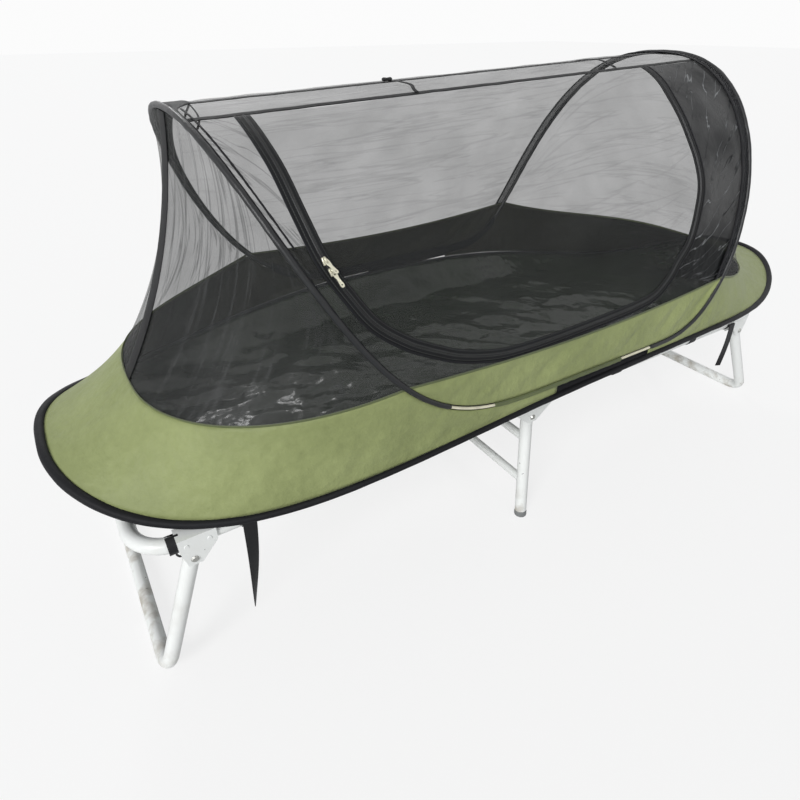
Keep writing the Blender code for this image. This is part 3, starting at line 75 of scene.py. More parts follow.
class Side(Enum):
    """Which end of the tent cot a piece belongs to."""

    LEFT = -1
    RIGHT = 1

    @property
    def end(self) -> int:
        """Its place in a pair of values, the left end's first."""
        return 0 if self is Side.LEFT else 1

    @property
    def word(self) -> str:
        """Its word in the names of pieces."""
        return self.name.lower()


class LongSide(Enum):
    """Which long side of the tent cot a piece belongs to."""

    NEAR = -1
    FAR = 1


class Weave(Enum):
    """How a cloth is woven."""

    PLAIN = "plain"
    TAPE = "tape"
    MESH = "mesh"


class Graph:
    """The node tree of a material or the world, filled by short calls."""

    def __init__(self, name: str, world: bool = False) -> None:
        """Start a material, or the world, with only its output."""
        self.owner = (bpy.data.worlds if world else bpy.data.materials).new(name)
        self.owner.use_nodes = True
        self.tree = self.owner.node_tree
        self.tree.nodes.clear()
        self.output = self.tree.nodes.new("ShaderNodeOutput" + ("World" if world else "Material"))

    def add(self, kind: str, settings: dict[str, object] | None = None, **inputs: object) -> bpy.types.Node:
        """Add a node.

        Args:
            kind: The node's type without its Shader Node prefix.
            settings: Properties of the node itself.
            **inputs: Values or sockets for its inputs, spaces written as underscores.

        Returns:
            The new node.
        """
        node = self.tree.nodes.new("ShaderNode" + kind)
        for key, value in (settings or {}).items():
            setattr(node, key, value)
        for key, value in inputs.items():
            place = int(key[1:]) if key[0] == "i" and key[1:].isdigit() else key.replace("_", " ")
            socket = node.inputs[place]
            if isinstance(value, Socket):
                self.tree.links.new(value, socket)
            else:
                socket.default_value = value
        return node

    def ramp(self, value: Socket, low: float, high: float) -> Socket:
        """Stretch a value so that low becomes 0 and high becomes 1."""
        node = self.add("MapRange", Value=value, From_Min=low, From_Max=high)
        return node.outputs["Result"]

    def noise(self, place: Socket, scale: float, detail: float = 4.0) -> Socket:
        """Noise of a scale at a place."""
        return self.add("TexNoise", Vector=place, Scale=scale, Detail=detail).outputs["Fac"]

    def mix(self, share: object, low: object, high: object) -> Socket:
        """Mix two colours."""
        node = self.add("Mix", {"data_type": "RGBA"}, i0=share, i6=low, i7=high)
        return node.outputs[2]

    def maths(self, operation: str, a: object, b: object = 0.0) -> Socket:
        """One sum on two values."""
        return self.add("Math", {"operation": operation}, i0=a, i1=b).outputs[0]

    def times(self, a: object, b: object) -> Socket:
        """The product of two values."""
        return self.maths("MULTIPLY", a, b)

    def plus(self, a: object, b: object) -> Socket:
        """The sum of two values."""
        return self.maths("ADD", a, b)

    def relief(self, strength: float, distance: float, height: object, **under: object) -> Socket:
        """The normal of a surface with a relief of a height in metres."""
        return self.add("Bump", Strength=strength, Distance=distance, Height=height, **under).outputs[0]

    def finish(self, shader: Socket) -> Material | bpy.types.World:
        """Join the shader to the output and return the tree's owner."""
        self.tree.links.new(shader, self.output.inputs["Surface"])
        return self.owner


def tone(red: float, green: float, blue: float) -> Colour:
    """A colour as the shaders want it, from its 0 to 255 values on a screen."""
    def linear(value: float) -> float:
        """One channel without the screen's curve."""
        share = value / 255
        return share / 12.92 if share <= 0.04045 else ((share + 0.055) / 1.055) ** 2.4

    return linear(red), linear(green), linear(blue), 1.0


@dataclass(frozen=True)
class PaintFinish:
    """White paint on a tube, scuffed, with dirt near the ground."""

    name: str = "white_paint"
    colour: Colour = tone(240, 242, 240)
    grime: Colour = tone(150, 138, 118)
    steel: Colour = tone(70, 70, 70)
    grime_height: float = 0.09
    roughness: float = 0.30

    def build(self) -> Material:
        """Make the material."""
        g = Graph(self.name)
        place = g.add("TexCoord").outputs["Object"]
        height = g.add("SeparateXYZ", Vector=place).outputs["Z"]
        near_ground = g.ramp(height, self.grime_height, 0.0)
        smears = g.ramp(g.noise(place, 26.0, 8.0), 0.46, 0.66)
        blotches = g.ramp(g.noise(place, 7.0, 5.0), 0.40, 0.70)
        low_dirt = g.times(g.times(near_ground, smears), 0.75)
        film = g.times(g.times(smears, blotches), 0.16)
        dirt = g.plus(low_dirt, film)
        painted = g.mix(dirt, self.colour, self.grime)
        chips = g.ramp(g.noise(place, 95.0, 3.0), 0.735, 0.755)
        worn = g.mix(chips, painted, self.steel)
        rough = g.plus(g.times(dirt, 0.35), self.roughness)
        bump = g.relief(0.12, 0.001, g.noise(place, 240.0, 3.0))
        shader = g.add("BsdfPrincipled", Base_Color=worn, Roughness=rough, Normal=bump)
        return g.finish(shader.outputs[0])


@dataclass(frozen=True)
class MetalFinish:
    """Bare or plated metal with fine scratches."""

    name: str
    colour: Colour
    roughness: float = 0.28
    metallic: float = 1.0

    def build(self) -> Material:
        """Make the material."""
        g = Graph(self.name)
        place = g.add("TexCoord").outputs["Object"]
        worn = g.ramp(g.noise(place, 60.0, 6.0), 0.35, 0.75)
        dark = tuple(channel * 0.62 for channel in self.colour[:3]) + (1.0,)
        colour = g.mix(g.times(worn, 0.5), self.colour, dark)
        rough = g.plus(g.times(worn, 0.22), self.roughness)
        bump = g.relief(0.15, 0.0005, g.noise(place, 500.0, 4.0))
        shader = g.add(
            "BsdfPrincipled", Base_Color=colour, Roughness=rough, Metallic=self.metallic, Normal=bump,
        )
        return g.finish(shader.outputs[0])


@dataclass(frozen=True)
class PlasticFinish:
    """Moulded plastic with a fine grain."""

    name: str
    colour: Colour
    roughness: float = 0.45

    def build(self) -> Material:
        """Make the material."""
        g = Graph(self.name)
        place = g.add("TexCoord").outputs["Object"]
        dust = g.ramp(g.noise(place, 38.0, 6.0), 0.45, 0.75)
        pale = tuple(min(channel * 1.5 + 0.03, 1.0) for channel in self.colour[:3]) + (1.0,)
        colour = g.mix(g.times(dust, 0.35), self.colour, pale)
        bump = g.relief(0.2, 0.0004, g.noise(place, 900.0, 2.0))
        shader = g.add("BsdfPrincipled", Base_Color=colour, Roughness=self.roughness, Normal=bump)
        return g.finish(shader.outputs[0])


@dataclass(frozen=True)
class ClothFinish:
    """Woven cloth or tape, with threads, creases, uneven dye, a soft gloss and, where asked, pale painted highlights
    along its folds.
    """

    name: str
    colour: Colour
    shade: Colour
    weave: Weave = Weave.PLAIN
    thread: float = 0.0011
    roughness: float = 0.55
    sheen: float = 0.25
    crease: float = 0.35
    see_through: float = 0.0
    stitch: tuple[float, ...] = ()
    stitch_colour: Colour = tone(66, 68, 66)
    stitch_pitch: float = 0.0042
    stitch_share: float = 0.68
    stitch_half: float = 0.0005
    # Colour of the painted highlights along the folds.
    painted_glint_colour: Colour = tone(225, 228, 230)
    gloss: float = 0.5
    fold_size: tuple[float, float] = (0.30, 0.022)
    fold_turn: float = 0.0
    fold_dark: float = 0.0
    # Strength of the painted fold highlights, 0 for none.
    painted_fold_glint: float = 0.0
    bump_depth: float = 0.006
    weave_bump: float = 0.35
    crease_scale: float = 32.0

    def folds(self, g: Graph, flat: Socket, width: float) -> Socket:
        """Thin lines where the cloth lies in folds, 1 on a fold and 0 beside it."""
        long, wide = self.fold_size
        settings = {"vector_type": "TEXTURE"}
        turned = g.add(
            "Mapping", settings, Vector=flat, Rotation=(0.0, 0.0, self.fold_turn), Scale=(long, wide, 1.0),
        )
        value = g.noise(turned.outputs[0], 1.0, 3.0)
        away = g.maths("ABSOLUTE", g.maths("SUBTRACT", value, 0.5))
        return g.ramp(away, width, 0.0)

    def build(self) -> Material:
        """Make the material."""
        g = Graph(self.name)
        coords = g.add("TexCoord")
        place = coords.outputs["Object"]
        flat = coords.outputs["UV"]
        turns = 2 * math.pi / (20 * self.thread)
        first = "DIAGONAL" if self.weave is Weave.TAPE else "X"
        threads = [
            g.add("TexWave", {"bands_direction": kind}, Vector=flat, Scale=turns).outputs["Fac"]
            for kind in (first, "Y")
        ]
        woven = g.times(threads[0], threads[1])
        uneven = g.ramp(g.noise(place, 5.5, 6.0), 0.30, 0.72)
        fine = g.ramp(g.noise(place, 70.0, 5.0), 0.30, 0.75)
        dye = g.plus(g.times(uneven, 0.60), g.times(fine, 0.25))
        dyed = g.mix(g.plus(dye, g.times(woven, 0.15)), self.shade, self.colour)
        across = g.add("SeparateXYZ", Vector=flat).outputs["Y"]
        run = g.add("SeparateXYZ", Vector=flat).outputs["X"]
        for place_of_stitch in self.stitch:
            near = {"i0": across, "i1": place_of_stitch, "i2": self.stitch_half}
            line = g.add("Math", {"operation": "COMPARE"}, **near).outputs[0]
            step = g.maths("FRACT", g.times(run, 1 / self.stitch_pitch))
            dash = g.maths("LESS_THAN", step, self.stitch_share)
            dyed = g.mix(g.times(line, dash), dyed, self.stitch_colour)
        alpha = 1.0 - self.see_through
        if self.weave is Weave.MESH:
            lines = self.folds(g, flat, 0.020)
            shades = g.times(g.ramp(g.noise(place, 9.0, 5.0), 0.35, 0.70), 0.10)
            alpha = g.plus(g.times(lines, self.fold_dark), g.plus(shades, alpha - 0.05))
        # Painted highlights: pale colour along the fold lines stands in for light glinting on the folds.
        if self.painted_fold_glint > 0:
            pale = g.times(self.folds(g, flat, 0.010), self.painted_fold_glint)
            glint_patches = g.ramp(g.noise(place, 16.0, 4.0), 0.42, 0.60)
            dyed = g.mix(g.times(pale, glint_patches), dyed, self.painted_glint_colour)
        creases = g.noise(place, self.crease_scale, 7.0 if self.crease_scale > 20 else 3.0)
        soft = g.relief(self.crease, self.bump_depth, creases)
        shader = g.add(
            "BsdfPrincipled", Base_Color=dyed, Roughness=self.roughness,
            Normal=g.relief(self.weave_bump, 0.0003, woven, Normal=soft), Sheen_Weight=self.sheen,
            Sheen_Roughness=0.4, Alpha=alpha, Specular_IOR_Level=self.gloss,
        )
        return g.finish(shader.outputs[0])


@dataclass
class Finishes:
    """All finishes of the tent cot, made once."""

    made: dict[str, Material] = field(default_factory=dict)

    def build(self) -> "Finishes":
        """Make every material and return the set."""
        black = tone(26, 27, 31)
        black_shade = tone(13, 13, 16)
        net = tone(51, 53, 53), tone(29, 31, 31), Weave.MESH, 0.0016, 0.55, 0.05, 0.3
        gathered = tone(20, 22, 24), tone(10, 11, 12), Weave.MESH, 0.0016, 0.50, 0.0, 0.5
        table = (
            ("paint", PaintFinish()),
            ("rod", MetalFinish("cream_rod", tone(226, 222, 198), 0.35, 0.0)),
            ("nickel", MetalFinish("zip_nickel", tone(225, 222, 200), 0.26, 0.7)),
            ("zinc", MetalFinish("zinc_pin", tone(190, 190, 186), 0.32)),
            ("plug", PlasticFinish("grey_plug", tone(120, 122, 122))),
            ("moulded", PlasticFinish("black_moulded", tone(22, 23, 25))),
            ("green", ClothFinish(
                "green_cloth", tone(158, 167, 114), tone(130, 139, 90), roughness=0.48, sheen=0.04, crease=0.85,
                gloss=0.30,
            )),
            # Dark olive inside face of the green cloth: partly its coating, partly painted shade of the tent's inside.
            ("lining", ClothFinish(
                "coated_lining_with_painted_shade", tone(56, 56, 45), tone(32, 32, 25), roughness=0.45, sheen=0.02, crease=0.7, gloss=0.25,
            )),
            ("hem", ClothFinish(
                "green_hem", tone(104, 114, 70), tone(78, 87, 52), stitch=(0.004, 0.013), crease=0.4, sheen=0.05,
            )),
            ("floor", ClothFinish(
                "coated_floor", tone(57, 67, 51), tone(33, 40, 29), roughness=0.22, sheen=0.0, crease=0.9,
                gloss=0.6, bump_depth=0.022, crease_scale=9.0, weave_bump=0.05,
            )),
            ("bed", ClothFinish("bed_cloth", tone(58, 70, 52), tone(40, 50, 38), thread=0.0014)),
            ("binding", ClothFinish("black_binding", black, black_shade, Weave.TAPE, 0.0016, 0.6, 0.01, gloss=0.2)),
            ("sleeve", ClothFinish(
                "arch_sleeve_cloth", tone(30, 32, 35), tone(16, 17, 19), Weave.TAPE, 0.0016, 0.40, 0.01,
                gloss=0.45, weave_bump=0.15,
            )),
            ("band", ClothFinish(
                "black_band", black, black_shade, Weave.TAPE, 0.0014, 0.6, 0.01, gloss=0.2, weave_bump=0.12,
            )),
            ("band_light", ClothFinish(
                "doubled_net_band", tone(40, 42, 46), black_shade, Weave.TAPE, 0.0014, 0.6, 0.02,
                see_through=0.42, gloss=0.2, weave_bump=0.12,
            )),
            ("tape", ClothFinish(
                "black_tape", tone(24, 25, 28), tone(11, 11, 13), Weave.TAPE, 0.0012, 0.6, 0.01,
                stitch=(0.0025, 0.0078), gloss=0.2,
            )),
            ("webbing", ClothFinish(
                "black_webbing", tone(26, 27, 30), black_shade, Weave.TAPE, 0.0022, 0.5, 0.05, gloss=0.3,
            )),
            ("net", ClothFinish("door_net", *net, 0.61, fold_size=(0.60, 0.045), fold_dark=0.08)),
            ("net_side", ClothFinish(
                "side_net", *net, 0.58, fold_size=(0.34, 0.026), fold_turn=-0.5, fold_dark=0.26,
            )),
            ("net_end", ClothFinish(
                "end_net", *net, 0.55, fold_size=(1.10, 0.034), fold_turn=math.pi / 2, fold_dark=0.30,
            )),
            # The gathered net's pale fold lines are painted highlights.
            ("net_gathered", ClothFinish(
                "gathered_net", *gathered, 0.06, fold_size=(0.16, 0.013), fold_turn=0.25, fold_dark=0.1, painted_fold_glint=0.36,
                gloss=0.15,
            )),
        )
        for key, finish in table:
            self.made[key] = finish.build()
        return self

    def __getitem__(self, key: str) -> Material:
        """The material of that name."""
        return self.made[key]


class Maker:
    """Modelling steps that every piece shares."""

    @staticmethod
    def only(obj: Piece) -> None:
        """Select one object alone and make it the active one."""
        if bpy.context.object and bpy.context.object.mode != "OBJECT":
            bpy.ops.object.mode_set(mode="OBJECT")
        bpy.ops.object.select_all(action="DESELECT")
        obj.select_set(True)
        bpy.context.view_layer.objects.active = obj

    @staticmethod
    def modify(obj: Piece, kind: str, **settings: object) -> None:
        """Add a modifier and apply it."""
        Maker.only(obj)
        modifier = obj.modifiers.new(kind.lower(), kind)
        for key, value in settings.items():
            setattr(modifier, key, value)
        bpy.ops.object.modifier_apply(modifier=modifier.name)

    @staticmethod
    def weld(obj: Piece) -> None:
        """Join the points that meet and turn the faces outward."""
        Maker.only(obj)
        bpy.ops.object.mode_set(mode="EDIT")
        bpy.ops.mesh.select_all(action="SELECT")
        bpy.ops.mesh.remove_doubles(threshold=WELD_DISTANCE)
        bpy.ops.mesh.normals_make_consistent(inside=False)
        bpy.ops.object.mode_set(mode="OBJECT")

    @staticmethod
    def curve(
        name: str, lines: Sequence[Sequence[Sequence[float]]], closed: bool, **settings: object,
    ) -> Piece:
        """Make a mesh from a curve.

        Args:
            name: The piece's name.
            lines: The points of each of the curve's lines.
            closed: Whether each line's end joins its start.
            **settings: The curve's own settings, such as its bevel.

        Returns:
            The new piece.
        """
        bpy.ops.object.select_all(action="DESELECT")
        bpy.ops.curve.primitive_nurbs_path_add(location=(0, 0, 0))
        curve = bpy.context.object.data
        curve.splines.clear()
        for key, value in settings.items():
            setattr(curve, key, value)
        for line in lines:
            spline = curve.splines.new("POLY")
            spline.points.add(len(line) - 1)
            for point, place in zip(spline.points, line):
                point.co = (*place, 1.0)
            spline.use_cyclic_u = closed
        bpy.ops.object.convert(target="MESH")
        obj = bpy.context.object
        obj.name = name
        obj.data.name = name
        return obj

    @staticmethod
    def sheet(
        name: str, rows: Rows, material: Material, thickness: float = 0.0, closed: bool = False,
        lining: Material | None = None,
    ) -> Piece:
        """Make a sheet through rows of points, with a UV map in metres.

        Args:
            name: The piece's name.
            rows: Rows of points, all of one length.
            material: Its finish.
            thickness: Thickness of the cloth, or 0 for a single layer.
            closed: Whether the last point of a row joins the first.
            lining: Finish of the side that faces the tent's inside, where it differs.

        Returns:
            The new piece.
        """
        high = len(rows)
        wide = len(rows[0])
        mesh = bpy.data.meshes.new(name)
        faces = []
        for i in range(high - 1):
            for j in range(wide if closed else wide - 1):
                m = (j + 1) % wide
                faces.append((i * wide + j, (i + 1) * wide + j, (i + 1) * wide + m, i * wide + m))
        mesh.from_pydata([p for row in rows for p in row], [], faces)
        middle = rows[high // 2]
        along = distances([*middle, middle[0]])
        down = distances([row[wide // 2] for row in rows])
        layer = mesh.uv_layers.new(name="UVMap")
        for face in mesh.polygons:
            corners = [mesh.loops[k].vertex_index for k in face.loop_indices]
            wraps = closed and {c % wide for c in corners} == {0, wide - 1}
            for k, corner in zip(face.loop_indices, corners):
                j = corner % wide
                layer.data[k].uv = (along[wide] if wraps and j == 0 else along[j], down[corner // wide])
        obj = bpy.data.objects.new(name, mesh)
        bpy.context.scene.collection.objects.link(obj)
        mesh.materials.append(material)
        for face in mesh.polygons:
            face.use_smooth = True
        inward = sum(face.normal.dot(face.center - CABIN_CENTRE) for face in mesh.polygons) < 0
        if lining and inward:
            mesh.flip_normals()
        if lining:
            mesh.materials.append(lining)
        if thickness > 0:
            Maker.modify(
                obj, "SOLIDIFY", thickness=thickness, offset=0.0, use_even_offset=False,
                material_offset=1 if lining else 0,
            )
        return obj

    @staticmethod
    def tube(
        name: str, line: Sequence[Vector], radius: float, material: Material, closed: bool = False,
    ) -> Piece:
        """Make a round tube or rod along a line of points, as a mesh."""
        obj = Maker.curve(name, [line], closed, bevel_depth=radius, bevel_resolution=6, use_fill_caps=not closed)
        obj.data.materials.clear()
        obj.data.materials.append(material)
        Maker.only(obj)
        bpy.ops.object.shade_smooth_by_angle(angle=math.radians(TUBE_CREASE))
        return obj

    @staticmethod
    def ribbon(
        name: str, line: Sequence[Vector], wide: Sequence[Vector], material: Material,
        thickness: float, crown: float = 0.0,
    ) -> Piece:
        """Make flat webbing along a line; wide holds the half width at each point, as a vector."""
        rows = []
        for share in RIBBON_SHARES:
            row = []
            for k, (place, half) in enumerate(zip(line, wide)):
                ahead = line[min(k + 1, len(line) - 1)] - line[max(k - 1, 0)]
                out = ahead.cross(half).normalized()
                row.append(place + half * share + out * crown * (1 - share * share))
            rows.append(row)
        return Maker.sheet(name, rows, material, thickness)


def distances(line: Sequence[Vector]) -> list[float]:
    """Distance travelled at each point of a line."""
    travel = [0.0]
    for a, b in zip(line, line[1:]):
        travel.append(travel[-1] + (b - a).length)
    return travel


def clamp(value: float) -> float:
    """A value kept between 0 and 1."""
    return min(max(value, 0.0), 1.0)


def squared(value: float, power: float) -> float:
    """A cosine or sine raised to a power with its sign kept, to draw a circle towards a square."""
    return math.copysign(abs(value) ** power, value)


def even(points: Sequence[Vector], travel: Sequence[float], pieces: int, count: int) -> list[Vector]:
    """Points spaced evenly along a line.

    Args:
        points: The line's points.
        travel: The distance travelled at each of them.
        pieces: How many pieces the whole line falls into.
        count: How many points to return.

    Returns:
        The evenly spaced points.
    """
    out = []
    at = 0
    for k in range(count):
        wanted = travel[-1] * k / pieces
        while at < len(points) - 2 and travel[at + 1] < wanted:
            at += 1
        share = (wanted - travel[at]) / max(travel[at + 1] - travel[at], 1e-9)
        out.append(points[at].lerp(points[at + 1], clamp(share)))
    return out


def lerp_along(line: Sequence[Vector], count: int, closed: bool = False) -> list[Vector]:
    """A number of points spaced evenly along a line, whose end joins its start if it is closed."""
    points = list(line) + ([line[0]] if closed else [])
    return even(points, distances(points), count if closed else count - 1, count)


def flip(place: Vector, far: bool = True) -> Vector:
    """A point mirrored to the far long side, or left where it is if far is false."""
    return Vector((place.x, -place.y, place.z)) if far else place


def rounded(corners: Sequence[Vector], radius: float, steps: int = 12) -> list[Vector]:
    """A path of straight runs with its inner corners bent to a radius."""
    out = [Vector(corners[0])]
    for before, here, after in zip(corners, corners[1:], corners[2:]):
        back = (before - here).normalized()
        ahead = (after - here).normalized()
        half = back.angle(ahead) / 2
        reach = radius / math.tan(half)
        centre = here + (back + ahead).normalized() * (radius / math.sin(half))
        first = here + back * reach - centre
        last = here + ahead * reach - centre
        for k in range(steps + 1):
            out.append(centre + first.normalized().slerp(last.normalized(), k / steps) * radius)
    out.append(Vector(corners[-1]))
    return out


def crumple(place: Vector, size: float, seed: float = 0.0) -> float:
    """Smooth unevenness from -1 to 1 with bumps of a size, the same each run."""
    return noise.noise(place / size + Vector((seed, seed * 1.7, seed * 0.6)))


def folds(x: float, y: float, z: float, seed: float = 0.0) -> float:
    """Smooth unevenness at a place whose values are already scaled to the folds."""
    return crumple(Vector((x, y, z)), 1.0, seed)


def place_piece(piece: Piece, node: str = "", body: str = "cot") -> None:
    """Let a piece ride on its body, in the place of its node if it has one."""
    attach(piece, body)
    if node:
        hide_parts(node)
    LOG.info("made %s", piece.name)


@dataclass(frozen=True)
class TentForm:
    """The tent's driving sizes and the lines and surfaces that they give."""

    half_long: float = 1.010
    half_wide: float = 0.376
    ring_height: float = 0.387
    corner_sag: float = 0.028
    twist: float = 0.024
    ring_power: float = 2.56
    seam_power: float = 2.6
    foot_half_span: float = 0.136
    foot_height: float = 0.4394
    lean: tuple[float, float] = (0.686, 0.481)
    rise: tuple[float, float] = (0.533, 0.576)
    seam_half_long: tuple[float, float] = (0.845, 0.720)
    seam_end_height: float = 0.495
    reach_power: float = 0.30
    width_power: float = 0.84
    seam_angle: float = 0.2155
    seam_dip: float = 0.025
    end_pull: float = 0.055
    door_top: float = 0.14
    floor_level: float = 0.3328
    net_folds: tuple[float, float, float, float] = (0.0034, 0.0022, 0.0030, 0.0010)
    net_edge: float = 0.05
    zip_left_shares: Shares = (
        (0.073, 0.14), (0.067, 0.250), (0.061, 0.345), (0.049, 0.460), (0.040, 0.558),
        (0.042, 0.640), (0.050, 0.710), (0.078, 0.765), (0.108, 0.797),
    )
    zip_bottom_shares: Shares = (
        (0.108, 0.797), (0.150, 0.829), (0.215, 0.854), (0.283, 0.864), (0.400, 0.866),
        (0.548, 0.863), (0.660, 0.857), (0.719, 0.845), (0.757, 0.815), (0.783, 0.775),
    )
    zip_right_shares: Shares = (
        (0.783, 0.775), (0.812, 0.732), (0.829, 0.659), (0.838, 0.594), (0.832, 0.520),
        (0.822, 0.440), (0.817, 0.319), (0.824, 0.230), (0.830, 0.14),
    )

    def ring(self, angle: float) -> Vector:
        """Point on the base ring's rod at an angle."""
        c, s = math.cos(angle), math.sin(angle)
        x = self.half_long * squared(c, 2 / self.ring_power)
        y = self.half_wide * squared(s, 2 / self.ring_power)
        z = self.ring_height + self.corner_sag * math.cos(4 * angle) - self.twist * math.sin(2 * angle)
        return Vector((x, y, z))

    def ring_line(self, count: int) -> list[Vector]:
        """The whole base ring, anticlockwise seen from above."""
        fine = [self.ring(2 * math.pi * k / 1440 + 1e-4) for k in range(1440)]
        return lerp_along(fine, count, True)

    def arch(self, side: Side, angle: float) -> Vector:
        """Point on an arch: angle 0 at its near foot, half a turn at its far foot."""
        s = max(math.sin(angle), 0.0)
        c = math.cos(angle)
        x = self.foot_half_span + (self.lean[side.end] - self.foot_half_span) * s**self.reach_power
        y = -self.half_wide * squared(c, self.width_power)
        z = self.foot_height + (self.ring_height + self.rise[side.end] - self.foot_height) * s
        return Vector((x * side.value, y, z))

    def arch_line(self, side: Side, start: float, end: float, count: int) -> list[Vector]:
        """Part of an arch between two angles, evenly spaced."""
        fine = []
        for k in range(801):
            share = k / 800
            eased = (1 - math.cos(math.pi * share)) / 2
            fine.append(self.arch(side, start + (end - start) * eased))
        return lerp_along(fine, count)

    def seam_share(self, across: float) -> float:
        """How far down the long side its seam lies, as a share of the quarter turn."""
        return 1 - self.seam_angle / (math.pi / 2) + self.seam_dip * 4 * across * (1 - across)

    def seam_end(self, side: Side, count: int) -> list[Vector]:
        """Seam between cloth and net round one end, from the near to the far arch."""
        cross = self.arch(side, self.seam_angle)
        half = self.seam_half_long[side.end]
        part = (abs(cross.x) / half) ** self.seam_power
        half_wide = abs(cross.y) / (1 - part) ** (1 / self.seam_power)
        start = math.acos((abs(cross.x) / half) ** (self.seam_power / 2))
        line = []
        for k in range(401):
            angle = -start + 2 * start * k / 400
            c, s = math.cos(angle), math.sin(angle)
            x = half * abs(c) ** (2 / self.seam_power)
            y = half_wide * squared(s, 2 / self.seam_power)
            near_arch = (half - x) / (half - abs(cross.x))
            z = self.seam_end_height + (cross.z - self.seam_end_height) * near_arch**2
            line.append(Vector((side.value * x, y, z)))
        return lerp_along(line, count)

    def panel(self, across: float, turn: float) -> Vector:
        """Point of a long side: across from the left to the right arch, and down from the ridge."""
        angle = math.pi / 2 * (1 - turn)
        return self.arch(Side.LEFT, angle).lerp(self.arch(Side.RIGHT, angle), across)

    def panel_frame(self, across: float, turn: float) -> tuple[Vector, Vector, Vector, Vector]:
        """Point, direction across, direction down and outward normal on the door side."""
        step = 0.002
        here = self.panel(across, turn)
        wide = (self.panel(across + step, turn) - self.panel(across - step, turn)) / (2 * step)
        low = (self.panel(across, turn + step) - self.panel(across, turn - step)) / (2 * step)
        return here, wide, low, low.cross(wide).normalized()

    def shifted(self, shares: Vector, move: Vector) -> Vector:
        """Shares of the panel point that lies a small move away along the panel."""
        _, wide, low, _ = self.panel_frame(shares[0], shares[1])
        a, b, c = wide.dot(wide), wide.dot(low), low.dot(low)
        p, q = wide.dot(move), low.dot(move)
        det = a * c - b * b
        return Vector((shares[0] + (c * p - b * q) / det, shares[1] + (a * q - b * p) / det))

    def zip_line(self, side_steps: int, bottom_steps: int) -> list[Vector]:
        """Panel shares of the zip's middle line, from its left top round to its right top."""
        left = self.smooth(self.zip_left_shares, side_steps)
        bottom = self.smooth(self.zip_bottom_shares, bottom_steps)
        right = self.smooth(self.zip_right_shares, side_steps)
        return left[:-1] + bottom + right[1:]

    def smooth(self, controls: Shares, steps: int) -> list[Vector]:
        """Smooth line of shares through control points, in even steps on the panel."""
        ends = [Vector(c) for c in controls]
        ends = [ends[0] * 2 - ends[1], *ends, ends[-1] * 2 - ends[-2]]
        fine = []
        for i in range(1, len(ends) - 2):
            a, b, c, d = ends[i - 1 : i + 3]
            for k in range(12):
                s = k / 12
                bend = a * 2 - b * 5 + c * 4 - d
                twist = b * 3 - a - c * 3 + d
                fine.append((b * 2 + (c - a) * s + bend * s**2 + twist * s**3) / 2)
        fine.append(ends[-2])
        return even(fine, distances([self.panel(*p) for p in fine]), steps, steps + 1)

    def beside(self, line: Sequence[Vector], distance: float) -> list[Vector]:
        """Move the zip's line sideways, towards the door if the distance is positive."""
        out = []
        for i, here in enumerate(line):
            before = self.panel(*line[max(i - 1, 0)])
            after = self.panel(*line[min(i + 1, len(line) - 1)])
            ahead = (after - before).normalized()
            inside = self.panel_frame(*here)[3].cross(ahead).normalized()
            out.append(self.shifted(here, inside * distance))
        out[0].y = self.door_top
        out[-1].y = self.door_top
        return out

    def down_share(self, distance: float, turn: float) -> float:
        """Share of the quarter turn that a distance down the panel takes."""
        return distance / self.panel_frame(0.5, turn)[2].length

    def net_point(self, across: float, turn: float, far: bool, hold: float) -> Vector:
        """Panel point with the net's folds; hold is 0 where an edge holds it flat."""
        place = self.panel(across, turn)
        out = self.panel_frame(min(max(across, 0.002), 0.998), min(max(turn, 0.003), 0.99))[3]
        edge = min(min(across, 1 - across) / self.net_edge, 1.0)
        broad, left, right, fine = self.net_folds
        seed = 7.0 if far else 1.0
        fan = math.atan2(turn - 1.05, across * 2.4 + 0.12)
        fan_right = math.atan2(turn - 1.05, (1.0 - across) * 2.4 + 0.12)
        lift = broad * folds(across * 9, turn * 2.4, 0, seed)
        lift += left * folds(fan * 17, 0.4 * turn, 3, seed) * math.exp(-across * 4.0)
        lift += right * folds(fan_right * 20, 0.4 * turn, 5, seed) * math.exp((across - 1) * 5.0)
        lift += fine * folds(across * 30, turn * 9, 2, seed)
        return flip(place + out * lift * edge * hold, far)


